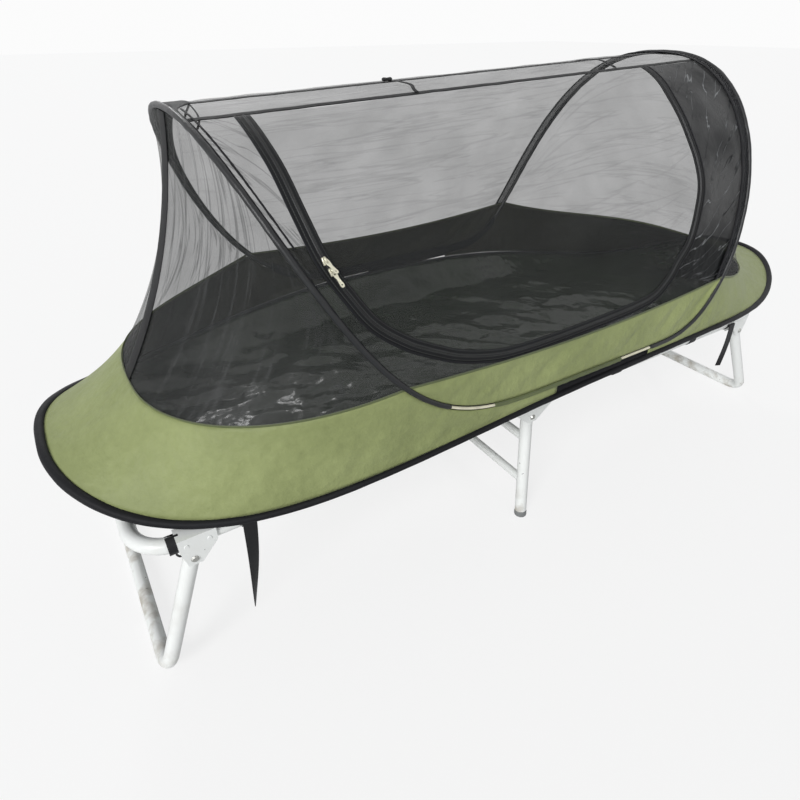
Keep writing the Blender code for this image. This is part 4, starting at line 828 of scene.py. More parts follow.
@dataclass
class CotFrame:
    """The cot's tubes: two bed frame halves, two splayed end legs and the H-shaped middle leg."""

    finishes: Finishes
    tube: float = 0.014
    bar: float = 0.010
    rail_height: float = 0.315
    half_spacing: float = 0.265
    centre_x: float = -0.0645
    half_long: float = 0.861
    bend: float = 0.070
    leg_bend: float = 0.045
    pivot_height: float = 0.282
    pivot_drop_rise: float = 0.0119
    leg_half: float = 0.7795
    splay: tuple[float, float] = (0.1005, 0.185)
    middle_x: float = -0.0865
    middle_lean: float = 0.010
    middle_spread: float = 0.034
    bar_heights: tuple[float, float] = (0.215, 0.100)
    bar_inset: float = 0.6
    joint_gap: float = 0.0003
    plug_height: float = 0.0125

    def build(self) -> None:
        """Make all tubes."""
        for side in Side:
            joint = Vector((self.middle_x + side.value * self.joint_gap, 0, self.rail_height))
            end = Vector((self.centre_x + side.value * self.half_long, 0, self.rail_height))
            rail = DEPTH * self.half_spacing
            path = rounded([joint - rail, end - rail, end + rail, joint + rail], self.bend)
            self.tube_piece(f"{side.word}_bed_frame", path, "cot")
        for side in Side:
            pivot = Vector((self.centre_x + side.value * self.leg_half, 0, self.pivot_height))
            foot = Vector((pivot.x + side.value * self.splay[side.end], 0, self.tube))
            top = pivot - (foot - pivot).normalized() * self.pivot_drop_rise
            near = DEPTH * -self.half_spacing
            path = rounded([top + near, foot + near, foot - near, top - near], self.leg_bend)
            self.tube_piece(f"{side.word}_leg", path, f"{side.word}_leg")
        feet = {}
        for side in LongSide:
            word = side.name.lower()
            top = Vector((self.middle_x, side.value * self.half_spacing, self.pivot_height + self.pivot_drop_rise))
            knee = top - UP * (self.pivot_drop_rise + 2 * self.tube)
            foot = Vector((
                self.middle_x - self.middle_lean, side.value * (self.half_spacing + self.middle_spread), 0.0,
            ))
            feet[side] = (knee, foot)
            low = knee.lerp(foot, (knee.z - self.plug_height) / knee.z)
            path = rounded([top, knee, low], self.leg_bend)
            self.tube_piece(f"middle_leg_{word}_upright", path, "middle_leg")
        for word, height in zip(("upper", "lower"), self.bar_heights):
            ends = [knee.lerp(foot, (knee.z - height) / knee.z) for knee, foot in feet.values()]
            ways = (ends[1] - ends[0]).normalized() * (self.tube * self.bar_inset)
            self.tube_piece(f"middle_leg_{word}_bar", [ends[0] + ways, ends[1] - ways], "middle_leg", self.bar)

    def tube_piece(self, node: str, path: list[Vector], body: str, radius: float | None = None) -> None:
        """Make one painted tube in the place of its node."""
        piece = Maker.tube(node + "_tube", path, radius or self.tube, self.finishes["paint"])
        place_piece(piece, node, body)

    def dress(self, nodes: dict[str, Piece]) -> None:
        """Give the brackets, pins, plugs, toggle and buckle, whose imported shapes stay, their finishes."""
        table = (
            ("_bracket", "paint"), ("_pivot_pin", "zinc"), ("_cap", "plug"), ("_toggle", "moulded"),
            ("_buckle", "moulded"),
        )
        for name, node in nodes.items():
            for ending, finish in table:
                if name.endswith(ending):
                    node.data.materials.clear()
                    node.data.materials.append(self.finishes[finish])


@dataclass
class BedSheet:
    """The stretched cloth of the bed, with the webbing loops that hold it to the tube."""

    finishes: Finishes
    cut: tuple[float, float] = (0.49, 1.68)
    cut_share: float = 0.98
    thickness: float = 0.0012
    top: float = 0.3288
    sag: float = 0.012
    scallop: float = 0.006
    half_long: float = 0.837
    half_wide: float = 0.241
    corner: float = 0.070
    rim_drop: float = 0.0016
    unevenness: float = 0.0012
    spine_share: float = 0.35
    scallop_reach: float = 0.14
    loop_half: float = 0.0125
    loop_radius: float = 0.0154
    loop_swing: float = 205
    loop_lift: float = 0.0008
    loop_over: Shares = ((0.014 + 0.034, 0.0035), (0.024, 0.001))
    loop_under: tuple[float, float] = (0.030, 0.006)
    rail_shares: tuple[float, ...] = (-0.66, -0.32, 0.30, 0.64)
    end_shares: tuple[float, ...] = (-0.42, 0.42)
    cot: CotFrame = None

    def edge(self, count: int) -> list[Vector]:
        """Outline of the cloth, anticlockwise, drawn in a little between its loops."""
        line = []
        for cx, cy, begin in ((1, 1, 0), (-1, 1, 1), (-1, -1, 2), (1, -1, 3)):
            for k in range(13):
                angle = (begin + k / 12) * math.pi / 2
                x = cx * (self.half_long - self.corner) + self.corner * math.cos(angle)
                y = cy * (self.half_wide - self.corner) + self.corner * math.sin(angle)
                line.append(Vector((self.cot.centre_x + x, y, self.top)))
        return lerp_along(line, count, True)

    def build(self) -> None:
        """Make the cloth and its loops."""
        count = 180
        edge = self.edge(count)
        loops = self.loop_places()
        rows = []
        for i in range(15):
            share = 1 - (1 - (i + 0.02) / 14.02) ** 1.6
            row = []
            for p in edge:
                near = min((p - c).length for c, _, _ in loops)
                middle = Vector((self.cot.centre_x + (p.x - self.cot.centre_x) * self.spine_share, 0, self.top))
                drawn = p + (middle - p).normalized() * self.scallop * min(near / self.scallop_reach, 1.0) ** 1.5
                place = drawn.lerp(middle, 1 - share)
                drop = self.sag * (1 - share**2) + self.rim_drop * share**8
                place.z -= drop - self.unevenness * crumple(place, 0.05) * (1 - share)
                row.append(place)
            rows.append(row)
        sheet = Maker.sheet("bed_sheet_cloth", rows, self.finishes["bed"], self.thickness, True)
        place_piece(sheet, "bed_sheet")
        for k, (centre, out, across) in enumerate(loops):
            self.loop(k, centre, out, across)
        LOG.info("made bed_sheet_cloth and %d loops", len(loops))

    def loop_places(self) -> list[tuple[Vector, Vector, Vector]]:
        """Centre on the tube, outward direction and width direction of every loop."""
        out = []
        for side in (-1, 1):
            for share in self.rail_shares:
                x = self.cot.centre_x + share * self.cot.half_long
                place = Vector((x, side * self.cot.half_spacing, self.cot.rail_height))
                out.append((place, DEPTH * side, ALONG.copy()))
            for share in self.end_shares:
                x = self.cot.centre_x + side * self.cot.half_long
                place = Vector((x, share * self.cot.half_spacing, self.cot.rail_height))
                out.append((place, ALONG * side, DEPTH.copy()))
        return out

    def loop(self, number: int, centre: Vector, out: Vector, across: Vector) -> None:
        """Make one loop of webbing round the tube, sewn to the cloth's edge."""
        top = self.top + self.loop_lift - self.cot.rail_height
        line = [centre - out * inward + UP * (top - down) for inward, down in self.loop_over]
        swing = math.radians(self.loop_swing)
        for k in range(15):
            angle = math.pi / 2 - swing * k / 14
            line.append(centre + (out * math.cos(angle) + UP * math.sin(angle)) * self.loop_radius)
        line.append(centre - out * self.loop_under[0] + UP * (top - self.loop_under[1]))
        wide = [across * self.loop_half * (-1 if across.y else 1)] * len(line)
        webbing = self.finishes["webbing"]
        place_piece(Maker.ribbon(f"bed_sheet_loop_{number + 1}", line, wide, webbing, self.thickness))


@dataclass
class TentRods:
    """Both sprung rods, the base ring's binding, the arches' sleeves and bands, and the hems."""

    finishes: Finishes
    form: TentForm
    rod: float = 0.00275
    sleeve: float = 0.0050
    sleeve_gather: float = 0.0007
    end_clearance: float = 0.0003
    binding_wide: tuple[float, float] = (0.0078, 0.0012)
    binding_high: tuple[float, float] = (0.0052, 0.0040)
    binding_power: float = 0.8
    bare_foot: float = 0.082
    hem_gather: float = 0.0008
    hem_start: float = 0.0168
    hem_share: float = 0.665
    band_lift: float = 0.0016
    piping_lift: float = 0.0028
    band_near: float = 0.004
    band_wide: float = 0.031
    ear_wide: float = 0.042
    ear_rise: float = 0.06
    ear_fall: tuple[float, float] = (0.55, 9)
    plain_wide: tuple[float, float] = (0.0068, 0.012)
    left_piping: tuple[float, float] = (0.0122, 0.0152)
    left_piping_run: tuple[float, float] = (0.75, math.pi / 2 - 0.10)
    piping_wide: float = 0.0075

    def saddle(self) -> list[Vector]:
        """The second rod's whole line: left arch, far run, right arch and near run."""
        left = self.form.arch_line(Side.LEFT, 0.0, math.pi, 240)
        right = self.form.arch_line(Side.RIGHT, math.pi, 0.0, 240)
        return left + right

    def build(self) -> None:
        """Make every piece."""
        made = self.finishes
        ring = self.form.ring_line(260)
        base = Maker.tube("base_ring_wire", ring, self.rod, made["rod"], True)
        place_piece(base, "base_ring_rod")
        wire = Maker.tube("saddle_wire", self.saddle(), self.rod, made["rod"], True)
        place_piece(wire, "saddle_rod")
        self.binding()
        for side, start in ((Side.LEFT, self.bare_foot), (Side.RIGHT, 0.0)):
            line = self.form.arch_line(side, start, math.pi - start, 260)
            piece = self.channel(f"{side.word}_arch_channel", line, "sleeve", self.sleeve_gather)
            place_piece(piece, f"{side.word}_arch_sleeve")
        for side in Side:
            self.band(side)
        for far, word in ((False, "near"), (True, "far")):
            self.hem(word, far)

    def binding(self) -> None:
        """The black cloth folded over the base ring, flattened and a little uneven."""
        line = self.form.ring_line(420)
        rows = []
        for k in range(12):
            angle = 2 * math.pi * k / 12
            row = []
            for j, place in enumerate(line):
                ahead = (line[(j + 1) % len(line)] - line[j - 1]).normalized()
                out = ahead.cross(UP).normalized()
                top = out.cross(ahead).normalized()
                end = (abs(place.x) / self.form.half_long) ** 3
                wide = self.binding_wide[0] + self.binding_wide[1] * end + 0.0009 * crumple(place, 0.05)
                high = self.binding_high[0] + self.binding_high[1] * end + 0.0007 * crumple(place, 0.035, 4.0)
                flat = squared(math.cos(angle), self.binding_power) * wide
                tall = squared(math.sin(angle), self.binding_power) * high
                row.append(place + out * flat + top * tall)
            rows.append(row)
        rows.append([p.copy() for p in rows[0]])
        piece = Maker.sheet("base_ring_binding", rows, self.finishes["binding"], 0.0, True)
        Maker.weld(piece)
        place_piece(piece, "base_binding")

    def channel(self, name: str, line: list[Vector], finish: str, gather: float) -> Piece:
        """A gathered cloth channel round a rod, with its ends rolled in."""
        last = len(line) - 1
        frames = []
        for j in range(len(line)):
            ahead = (line[min(j + 1, last)] - line[max(j - 1, 0)]).normalized()
            out = frames[-1][0] if frames else ahead.cross(UP if abs(ahead.z) < 0.9 else DEPTH)
            out = (out - ahead * out.dot(ahead)).normalized()
            frames.append((out, out.cross(ahead)))
        rows = []
        for k in range(11):
            c, s = math.cos(2 * math.pi * k / 10), math.sin(2 * math.pi * k / 10)
            row = []
            for j, (place, (out, top)) in enumerate(zip(line, frames)):
                reach = self.sleeve + gather * folds(j * 0.31, c * 1.2, s * 1.2, 3.0)
                row.append(place + (out * c + top * s) * (self.rod + self.end_clearance if j in (0, last) else reach))
            rows.append(row)
        piece = Maker.sheet(name, rows, self.finishes[finish])
        Maker.weld(piece)
        return piece

    def reach(self, side: Side, angle: float) -> float:
        """How far the band reaches from the rod at an angle of the arch."""
        if side is Side.RIGHT:
            return self.band_wide
        past = angle - math.pi / 2
        middle, steep = self.ear_fall
        top = math.exp(-((past / self.ear_rise) ** 2)) if past < 0 else 1 / (1 + math.exp((past - middle) * steep))
        plain = self.plain_wide[0 if past < 0 else 1]
        return plain + (self.ear_wide - plain) * top

    def band_rows(self, side: Side, start: float, end: float, edges: Callable[[float], Shares], lift: float) -> Rows:
        """Rows of points of a strip along an arch, on the net beside it.

        Args:
            side: Which arch.
            start: The angle where the strip starts.
            end: The angle where it ends.
            edges: Gives the distances of its two edges from the rod at an angle.
            lift: How far it lies off the net.

        Returns:
            The rows, from the edge next to the rod inward.
        """
        rows = []
        for i in range(5):
            row = []
            for k in range(161):
                angle = start + (end - start) * k / 160
                far = angle > math.pi / 2
                turn = 1 - (math.pi - angle if far else angle) / (math.pi / 2)
                span = (self.form.panel(1, turn) - self.form.panel(0, turn)).length
                near, wide = edges(angle)
                reach = near + (wide - near) * i / 4
                across = reach / span if side is Side.LEFT else 1 - reach / span
                out = self.form.panel_frame(across, max(turn, 0.003))[3]
                lifted = out * (lift + 0.0009 * folds(k * 0.22, i * 0.5, side.value * 9))
                row.append(flip(self.form.panel(across, turn) + lifted, far))
            rows.append(row)
        return rows

    def band(self, side: Side) -> None:
        """The band sewn to the net along the inner side of an arch, and the piping on its edge."""
        half, left = self.form.seam_angle, side is Side.LEFT
        near = self.band_near
        rows = self.band_rows(side, half, math.pi - half, lambda t: (near, self.reach(side, t)), self.band_lift)
        finish = self.finishes["band" if left else "band_light"]
        piece = Maker.sheet(f"{side.word}_arch_band", rows, finish, 0.0008)
        place_piece(piece)
        edge = self.left_piping if left else (self.band_wide - self.piping_wide, self.band_wide)
        start, end = self.left_piping_run if left else (half, math.pi - half)
        rows = self.band_rows(side, start, end, lambda t: edge, self.piping_lift)
        place_piece(Maker.sheet(f"{side.word}_arch_piping", rows, self.finishes["binding"], 0.0010))

    def hem(self, word: str, far: bool) -> None:
        """The green channel at the foot of a long side, round the rod's straight run."""
        line = [self.form.arch(Side.LEFT, self.hem_start * (1 - k / 40)) for k in range(40)]
        left, right = self.form.arch(Side.LEFT, 0.0), self.form.arch(Side.RIGHT, 0.0)
        line += [left.lerp(right, self.hem_share * k / 20) for k in range(21)]
        line = lerp_along([flip(p, far) for p in line], 90)
        place_piece(self.channel(f"{word}_hem_channel", line, "hem", self.hem_gather), f"{word}_hem")


@dataclass
class TentCloth:
    """The tent's floor and its green lower walls."""

    finishes: Finishes
    form: TentForm
    thickness: float = 0.0006
    floor_cut: tuple[float, float] = (0.80, 2.04)
    floor_share: float = 0.88
    floor_flat: float = 0.80
    floor_inset: float = 0.0075
    floor_crumples: tuple[float, float, float, float] = (0.0045, 0.0085, 0.0020, 0.0060)
    apron_folds: tuple[float, float, float] = (0.0050, 0.0080, 0.0022)
    wall_folds: tuple[float, float, float] = (0.0085, 0.0030, 0.0105)
    low_steps: int = 46
    end_steps: int = 120
    apron_sag: float = 0.008
    arch_gap: float = 0.0052
    seam_gap: float = 0.0004
    ring_gap: float = 0.0068
    apron_free: float = 0.10
    wall_reach: float = 0.985
    wall_gaps: tuple[float, float] = (0.0003, 0.0054)
    wall_free: float = 0.07
    skirt_reach: float = 1.02
    skirt_gaps: tuple[float, float, float] = (0.0050, 0.001, 0.0040)
    skirt_folds: tuple[float, float] = (0.004, 0.002)
    facing_half: float = 0.0125

    def floor(self) -> None:
        """The dark coated floor: crumpled on the bed, drawn up to the base ring at its edge."""
        edge = []
        line = self.form.ring_line(300)
        for j, place in enumerate(line):
            ahead = (line[(j + 1) % len(line)] - line[j - 1]).normalized()
            edge.append(place + UP.cross(ahead).normalized() * self.floor_inset)
        rows = []
        low = self.form.floor_level
        broad, sharp, small, slanted = self.floor_crumples
        for i in range(61):
            share = 1 - (1 - 0.004) * i / 60
            lift = max(share - self.floor_flat, 0.0) / 0.20
            row = []
            for p in edge:
                place = Vector((p.x * share, p.y * share, low + (p.z - low) * lift**1.5))
                free = min((1 - share) / 0.06, 1.0)
                bumps = crumple(Vector((place.x, place.y * 2.2, 0)), 0.13)
                left = clamp((-0.05 - place.x) / 0.40)
                ridges = max(1 - abs(crumple(Vector((place.x, place.y * 1.3, 1)), 0.10, 5.0)) * 2, 0.0)
                slants = Vector((place.x + place.y * 0.8, place.y * 0.35, 4))
                longs = max(1 - abs(crumple(slants, 0.10, 8.0)) * 2, 0.0)
                fine = crumple(Vector((place.x, place.y, 2)), 0.04)
                crumples = left * (sharp * ridges + small * (fine + 1)) + (1 - left) * slanted * longs
                place.z += free * (broad * (bumps + 1) + crumples)
                row.append(place)
            rows.append(row)
        piece = Maker.sheet("tent_floor_cloth", rows, self.finishes["floor"], self.thickness, True)
        place_piece(piece, "tent_floor")

    def aprons(self) -> None:
        """Green cloth round each end, from the base ring up to the seam and the arches."""
        for side in Side:
            low = self.form.arch_line(side, 0.0, self.form.seam_angle, self.low_steps + 1)
            seam = self.form.seam_end(side, self.end_steps + 1)
            top = low[:-1] + seam + [flip(p) for p in reversed(low)][1:]
            bottom = self.ring_part(side)
            rows = []
            for i in range(19):
                share = i / 18
                row = []
                for k, (a, b) in enumerate(zip(top, bottom)):
                    way = (b - a).normalized()
                    size = (b - a).length
                    on_arch = k <= self.low_steps or k >= self.low_steps + self.end_steps
                    p = a + way * (self.arch_gap if on_arch else self.seam_gap)
                    place = p.lerp(b - way * min(self.ring_gap, size * 0.4), share)
                    free = math.sin(math.pi * share) * min(size / self.apron_free, 1.0)
                    place.z -= self.apron_sag * free
                    out = Vector((place.x, place.y * 3, 0)).normalized()
                    wide = folds(k * 0.16, share * 1.1, 2, side.value)
                    drape = folds(k * 0.05 + share * 0.9, share * 0.8, 7, side.value)
                    fine = folds(k * 0.42 - share * 2.0, share * 2.6, 4, side.value)
                    sizes = self.apron_folds
                    place += out * free * (sizes[0] * wide + sizes[1] * drape + sizes[2] * fine)
                    row.append(place)
                rows.append(row)
            self.green(f"{side.word}_apron", rows, "base_ring_binding")

    def green(self, node: str, rows: Rows, on: str) -> None:
        """Make a green cloth with its dark lining: partly a coated inside face, partly painted shade of the tent's
        inside.
        """
        made = self.finishes
        piece = Maker.sheet(node + "_cloth", rows, made["green"], self.thickness, lining=made["lining"])
        place_piece(piece, node)

    def ring_part(self, side: Side) -> list[Vector]:
        """Base ring round one end, from near to far, matched to the apron's upper edge."""
        power = self.form.ring_power / 2
        foot = math.acos((self.form.foot_half_span / self.form.half_long) ** power)
        cross_x = abs(self.form.arch(side, self.form.seam_angle).x) * 1.08
        cross = math.acos((cross_x / self.form.half_long) ** power)

        def run(start: float, end: float, count: int) -> list[Vector]:
            """Part of the ring between two angles."""
            fine = []
            for k in range(401):
                angle = start + (end - start) * k / 400
                fine.append(self.form.ring(angle if side is Side.RIGHT else math.pi - angle))
            return lerp_along(fine, count)

        near = run(-foot, -cross, self.low_steps + 1)
        middle = run(-cross, cross, self.end_steps + 1)
        far = run(cross, foot, self.low_steps + 1)
        return near[:-1] + middle + far[1:]

    def walls(self) -> None:
        """Green cloth of the long sides, between the seam and the rod's low run."""
        for far, word in ((False, "near"), (True, "far")):
            top = self.form.seam_angle * self.wall_reach
            left, right = (self.form.arch_line(side, 0.0, top, 61) for side in Side)
            left.reverse()
            straight = [left[-1].lerp(right[0], k / 20) for k in range(1, 20)]
            bottom = left + straight + right
            rows = []
            for i in range(17):
                share = i / 16
                row = []
                for k, q in enumerate(bottom):
                    across = (q.x - left[0].x) / (right[-1].x - left[0].x)
                    p = self.form.panel(across, self.form.seam_share(across))
                    size = (q - p).length
                    way = (q - p).normalized()
                    place = (p + way * self.wall_gaps[0]).lerp(q - way * min(self.wall_gaps[1], size * 0.45), share)
                    free = math.sin(math.pi * share) * min(size / self.wall_free, 1.0)
                    slant = folds(place.x * 14 + share * 1.6, share * 0.6, 3, 2.0)
                    fine = folds(place.x * 38 + share * 3.4, share * 0.9, 8, 2.0)
                    toward = clamp((place.x - 0.02) / 0.30)
                    sharp = folds(place.x * 25 + share * 2.6, share * 0.5, 5, 2.0)
                    sizes = self.wall_folds
                    place.y += free * (sizes[0] * slant + sizes[1] * fine + sizes[2] * toward * sharp)
                    row.append(flip(place, far))
                rows.append(row)
            self.green(f"{word}_wall", rows, f"{word}_hem_channel")

    def skirts(self) -> None:
        """The short dark strips that close each long side between the rod's bare run and the base ring."""
        under_rod, beside_ring, over_ring = self.skirt_gaps
        for far, word in ((False, "near"), (True, "far")):
            rows = []
            for i in range(7):
                share = i / 6
                row = []
                for k in range(41):
                    x = self.form.foot_half_span * (k / 20 - 1) * self.skirt_reach
                    ring = math.acos((abs(x) / self.form.half_long) ** (self.form.ring_power / 2))
                    low = self.form.ring(-ring if x > 0 else ring - math.pi)
                    high = Vector((x, -self.form.half_wide, self.form.foot_height - under_rod))
                    place = high.lerp(Vector((x, low.y + beside_ring, low.z + over_ring)), share)
                    bulge = self.skirt_folds[0] + self.skirt_folds[1] * folds(k * 0.3, share, 0)
                    place.y += math.sin(math.pi * share) * bulge
                    row.append(flip(place, far))
                rows.append(row)
            self.facing(word, far)
            piece = Maker.sheet(f"{word}_skirt_cloth", rows, self.finishes["binding"], self.thickness)
            place_piece(piece)

    def facing(self, word: str, far: bool) -> None:
        """The dark tape sewn over the rod's low run on the tent's inside."""
        line = list(reversed(self.form.arch_line(Side.LEFT, 0.0, 0.12, 31)))
        line += self.form.arch_line(Side.RIGHT, 0.0, 0.12, 31)
        line = lerp_along(line, 90)
        line = [flip(Vector((p.x, p.y + 0.0060, p.z + 0.0020)), far) for p in line]
        half = [UP * self.facing_half] * len(line)
        place_piece(Maker.ribbon(f"{word}_facing", line, half, self.finishes["binding"], self.thickness))

    def seams(self) -> None:
        """The sewn edge between the green cloth and the net, a narrow dark tape all the way round."""
        line = [self.form.panel(k / 120, self.form.seam_share(k / 120)) for k in range(121)]
        right = self.form.seam_end(Side.RIGHT, 91)
        left = list(reversed(self.form.seam_end(Side.LEFT, 91)))
        whole = line + right[1:] + [flip(p) for p in reversed(line)][1:] + left[1:-1]
        moved = [p + Vector((p.x * 0.5, p.y * 2.5, 0)).normalized() * 0.0014 for p in whole]
        moved.append(moved[0].copy())
        half = [UP * 0.0022] * len(moved)
        place_piece(Maker.ribbon("wall_seam_tape", moved, half, self.finishes["hem"], 0.0010, 0.0006))

    def build(self) -> None:
        """Make every cloth."""
        self.floor()
        self.aprons()
        self.walls()
        self.skirts()
        self.seams()


@dataclass
class TentNets:
    """The net panels, the door with its zip, and the tapes along the ridge."""

    finishes: Finishes
    form: TentForm
    side_steps: int = 44
    bottom_steps: int = 64
    gap: float = 0.0003
    zip_tape: float = 0.010
    ridge_tape: float = 0.016
    top_tape: float = 0.0105
    near_sleeve: float = 0.0060
    seam_hold: float = 0.45
    tape_thickness: float = 0.0008
    sewn_gap: float = 0.0008
    tape_lift: float = 0.0004
    tooth: float = 0.0003
    coil: Shares = ((0.0003, 0.0004), (0.0004, 0.0017), (0.0013, 0.0021), (0.0021, 0.0008))
    outer_binding: tuple[float, ...] = (0.0104, 0.0116, 0.0129, 0.0142)
    end_seam_half: float = 0.0200
    end_folds: tuple[float, float] = (0.0085, 0.0035)
    right_fold_share: float = 0.6

    def sheet(self, node: str, rows: Rows, finish: str, held: str = "stretched", body: str = "cot") -> None:
        """Make a sheet of net or tape in the place of its node."""
        tape = finish == "tape"
        name = node + "_cloth"
        piece = Maker.sheet(name, rows, self.finishes[finish], self.tape_thickness if tape else 0.0)
        place_piece(piece, node, body)

    def span_share(self, turn: float) -> float:
        """Share across the panel that keeps an edge clear of an arch's channel."""
        span = (self.form.panel(1, turn) - self.form.panel(0, turn)).length
        return self.near_sleeve / span

    def near(self) -> None:
        """The fixed net round the door."""
        line = self.form.zip_line(self.side_steps, self.bottom_steps)
        inner = self.form.beside(line, -(self.zip_tape + 2 * self.gap))
        low = self.form.seam_share(0.0)
        outer = []
        for k in range(self.side_steps):
            turn = self.form.door_top + (low - self.form.door_top) * k / self.side_steps
            outer.append(Vector((self.span_share(turn), turn)))
        for k in range(self.bottom_steps + 1):
            across = k / self.bottom_steps
            outer.append(Vector((min(max(across, 0.008), 0.992), self.form.seam_share(across))))
        outer += [Vector((1 - s[0], s[1])) for s in reversed(outer[: self.side_steps])]
        rows = []
        for i in range(13):
            share = i / 12
            row = []
            for k, (a, b) in enumerate(zip(inner, outer)):
                at = a.lerp(b, share)
                hold = math.sin(math.pi * share) ** 0.7 if 0 < share < 1 else 0.0
                hold *= min(min(k, len(inner) - 1 - k) / 4, 1.0)
                place = self.form.net_point(*at, False, hold)
                right = k > self.side_steps + self.bottom_steps
                if 0 < share < 1:
                    out = self.form.panel_frame(min(max(at[0], 0.01), 0.99), at[1])[3]
                    pleat = folds(share * (5.0 if right else 3.2), k * 0.045, 6)
                    place = place + out * pleat * (0.0052 if right else 0.0022) * hold
                row.append(place)
            rows.append(row)
        self.sheet("near_net", rows, "net_side")
        mesh = bpy.data.objects["near_net_cloth"].data
        mesh.materials.append(self.finishes["net_gathered"])
        for face in mesh.polygons:
            if face.index % (len(rows[0]) - 1) > self.side_steps + self.bottom_steps - 4:
                face.material_index = 1

    def door(self) -> None:
        """The door's net, inside the zip."""
        line = self.form.zip_line(self.side_steps, self.bottom_steps)
        edge = self.form.beside(line, self.zip_tape + 2 * self.gap)
        left = edge[: self.side_steps + 1]
        bottom = edge[self.side_steps : self.side_steps + self.bottom_steps + 1]
        right = list(reversed(edge[self.side_steps + self.bottom_steps :]))
        rows = []
        for i in range(self.side_steps + 1):
            share = i / self.side_steps
            row = []
            for j in range(self.bottom_steps + 1):
                across = j / self.bottom_steps
                sunk = bottom[j] - bottom[0].lerp(bottom[-1], across)
                at = left[i].lerp(right[i], across) + sunk * share**2
                rim = min(across, 1 - across, 1 - share, share + 0.02)
                row.append(self.form.net_point(*at, False, min(rim / 0.06, 1.0)))
            rows.append(row)
        self.sheet("door_net", rows, "net", "hung", "door")

    def zip_tapes(self) -> None:
        """Both halves of the zip: a tape with a sewn hem, and half of the coil."""
        line = self.form.zip_line(self.side_steps * 2, self.bottom_steps * 2)
        reaches = (self.gap, 0.0030, 0.0065, self.zip_tape + self.gap)
        for side, node, body in ((1, "door_zip_tape", "door"), (-1, "fixed_zip_tape", "cot")):
            rows = [self.zip_row(line, side, reach, 0.0006 if reach > self.gap else 0.0) for reach in reaches]
            self.sheet(node, rows, "tape", body=body)
            rows = [self.zip_row(line, side, reach, lift, self.tooth) for reach, lift in self.coil]
            coil = Maker.sheet(node.replace("tape", "coil"), rows, self.finishes["moulded"])
            place_piece(coil, body=body)
        rows = [self.zip_row(line, -1, reach, 0.0013) for reach in self.outer_binding]
        place_piece(Maker.sheet("zip_outer_binding", rows, self.finishes["band"], 0.0007))

    def zip_row(self, line: list[Vector], side: int, reach: float, lift: float, tooth: float = 0.0) -> list[Vector]:
        """A row of points beside the zip's middle line.

        Args:
            line: The zip's middle line, in shares of the panel.
            side: 1 for the door's side and -1 for the fixed net's.
            reach: How far the row lies from the line.
            lift: How far it lies off the net.
            tooth: How much higher every second point lies.

        Returns:
            The row, turned so that the sheet faces outward.
        """
        row = []
        for k, at in enumerate(self.form.beside(line, side * reach)):
            here, _, _, out = self.form.panel_frame(*at)
            row.append(here + out * (lift + (tooth if k % 2 else 0.0)))
        return row if side > 0 else row[::-1]

    def ridge(self) -> None:
        """The tapes along the ridge and the door's top edge, and the nets beside them."""
        steps = 90
        tape_end = self.form.down_share(self.ridge_tape / 2, 0.01)
        door_top = self.form.door_top
        high = door_top - self.form.down_share(self.sewn_gap + self.top_tape, door_top)
        low = door_top - self.form.down_share(self.sewn_gap, door_top)
        turns = ((tape_end, True), (tape_end / 2, True), (0.0, False), (tape_end / 2, False), (tape_end, False))
        self.sheet("ridge_tape", [self.across(turn, steps, far) for turn, far in turns], "tape")
        rows = [self.across(high + (low - high) * i / 4, steps, False) for i in range(5)]
        self.sheet("door_top_tape", rows, "tape")
        self.strip("ridge_net", tape_end, high, 14, steps, False)
        self.strip("far_net", tape_end, 1.0, 56, 110, True)

    def across(self, turn: float, steps: int, far: bool) -> list[Vector]:
        """A row of points from arch to arch, a little above the panel."""
        row = []
        edge = self.span_share(max(turn, 0.003))
        for j in range(steps + 1):
            share = edge + (1 - 2 * edge) * j / steps
            out = self.form.panel_frame(share, max(turn, 0.003))[3]
            lifted = out * (self.tape_lift + 0.0006 * folds(j * 0.35, turn, 0))
            row.append(flip(self.form.panel(share, turn) + lifted, far))
        return row

    def strip(self, node: str, start: float, end: float, high: int, wide: int, far: bool) -> None:
        """A net from arch to arch, between two shares of the quarter turn, down to the seam if end is 1."""
        rows = []
        for i in range(high + 1):
            share = i / high
            row = []
            for j in range(wide + 1):
                across = j / wide
                last = self.form.seam_share(across) if end == 1.0 else end
                turn = start + (last - start) * share
                edge = self.span_share(turn)
                at = edge + (1 - 2 * edge) * across
                hold = min(min(share, 1 - share) / 0.12, 1.0)
                place = self.form.net_point(at, turn, far, hold)
                if end != 1.0:
                    place.z += 0.0030 * hold * folds(across * 2.5, share * 4.0, 9)
                row.append(place)
            rows.append(row[::-1] if far else row)
        self.sheet(node, rows, "net")

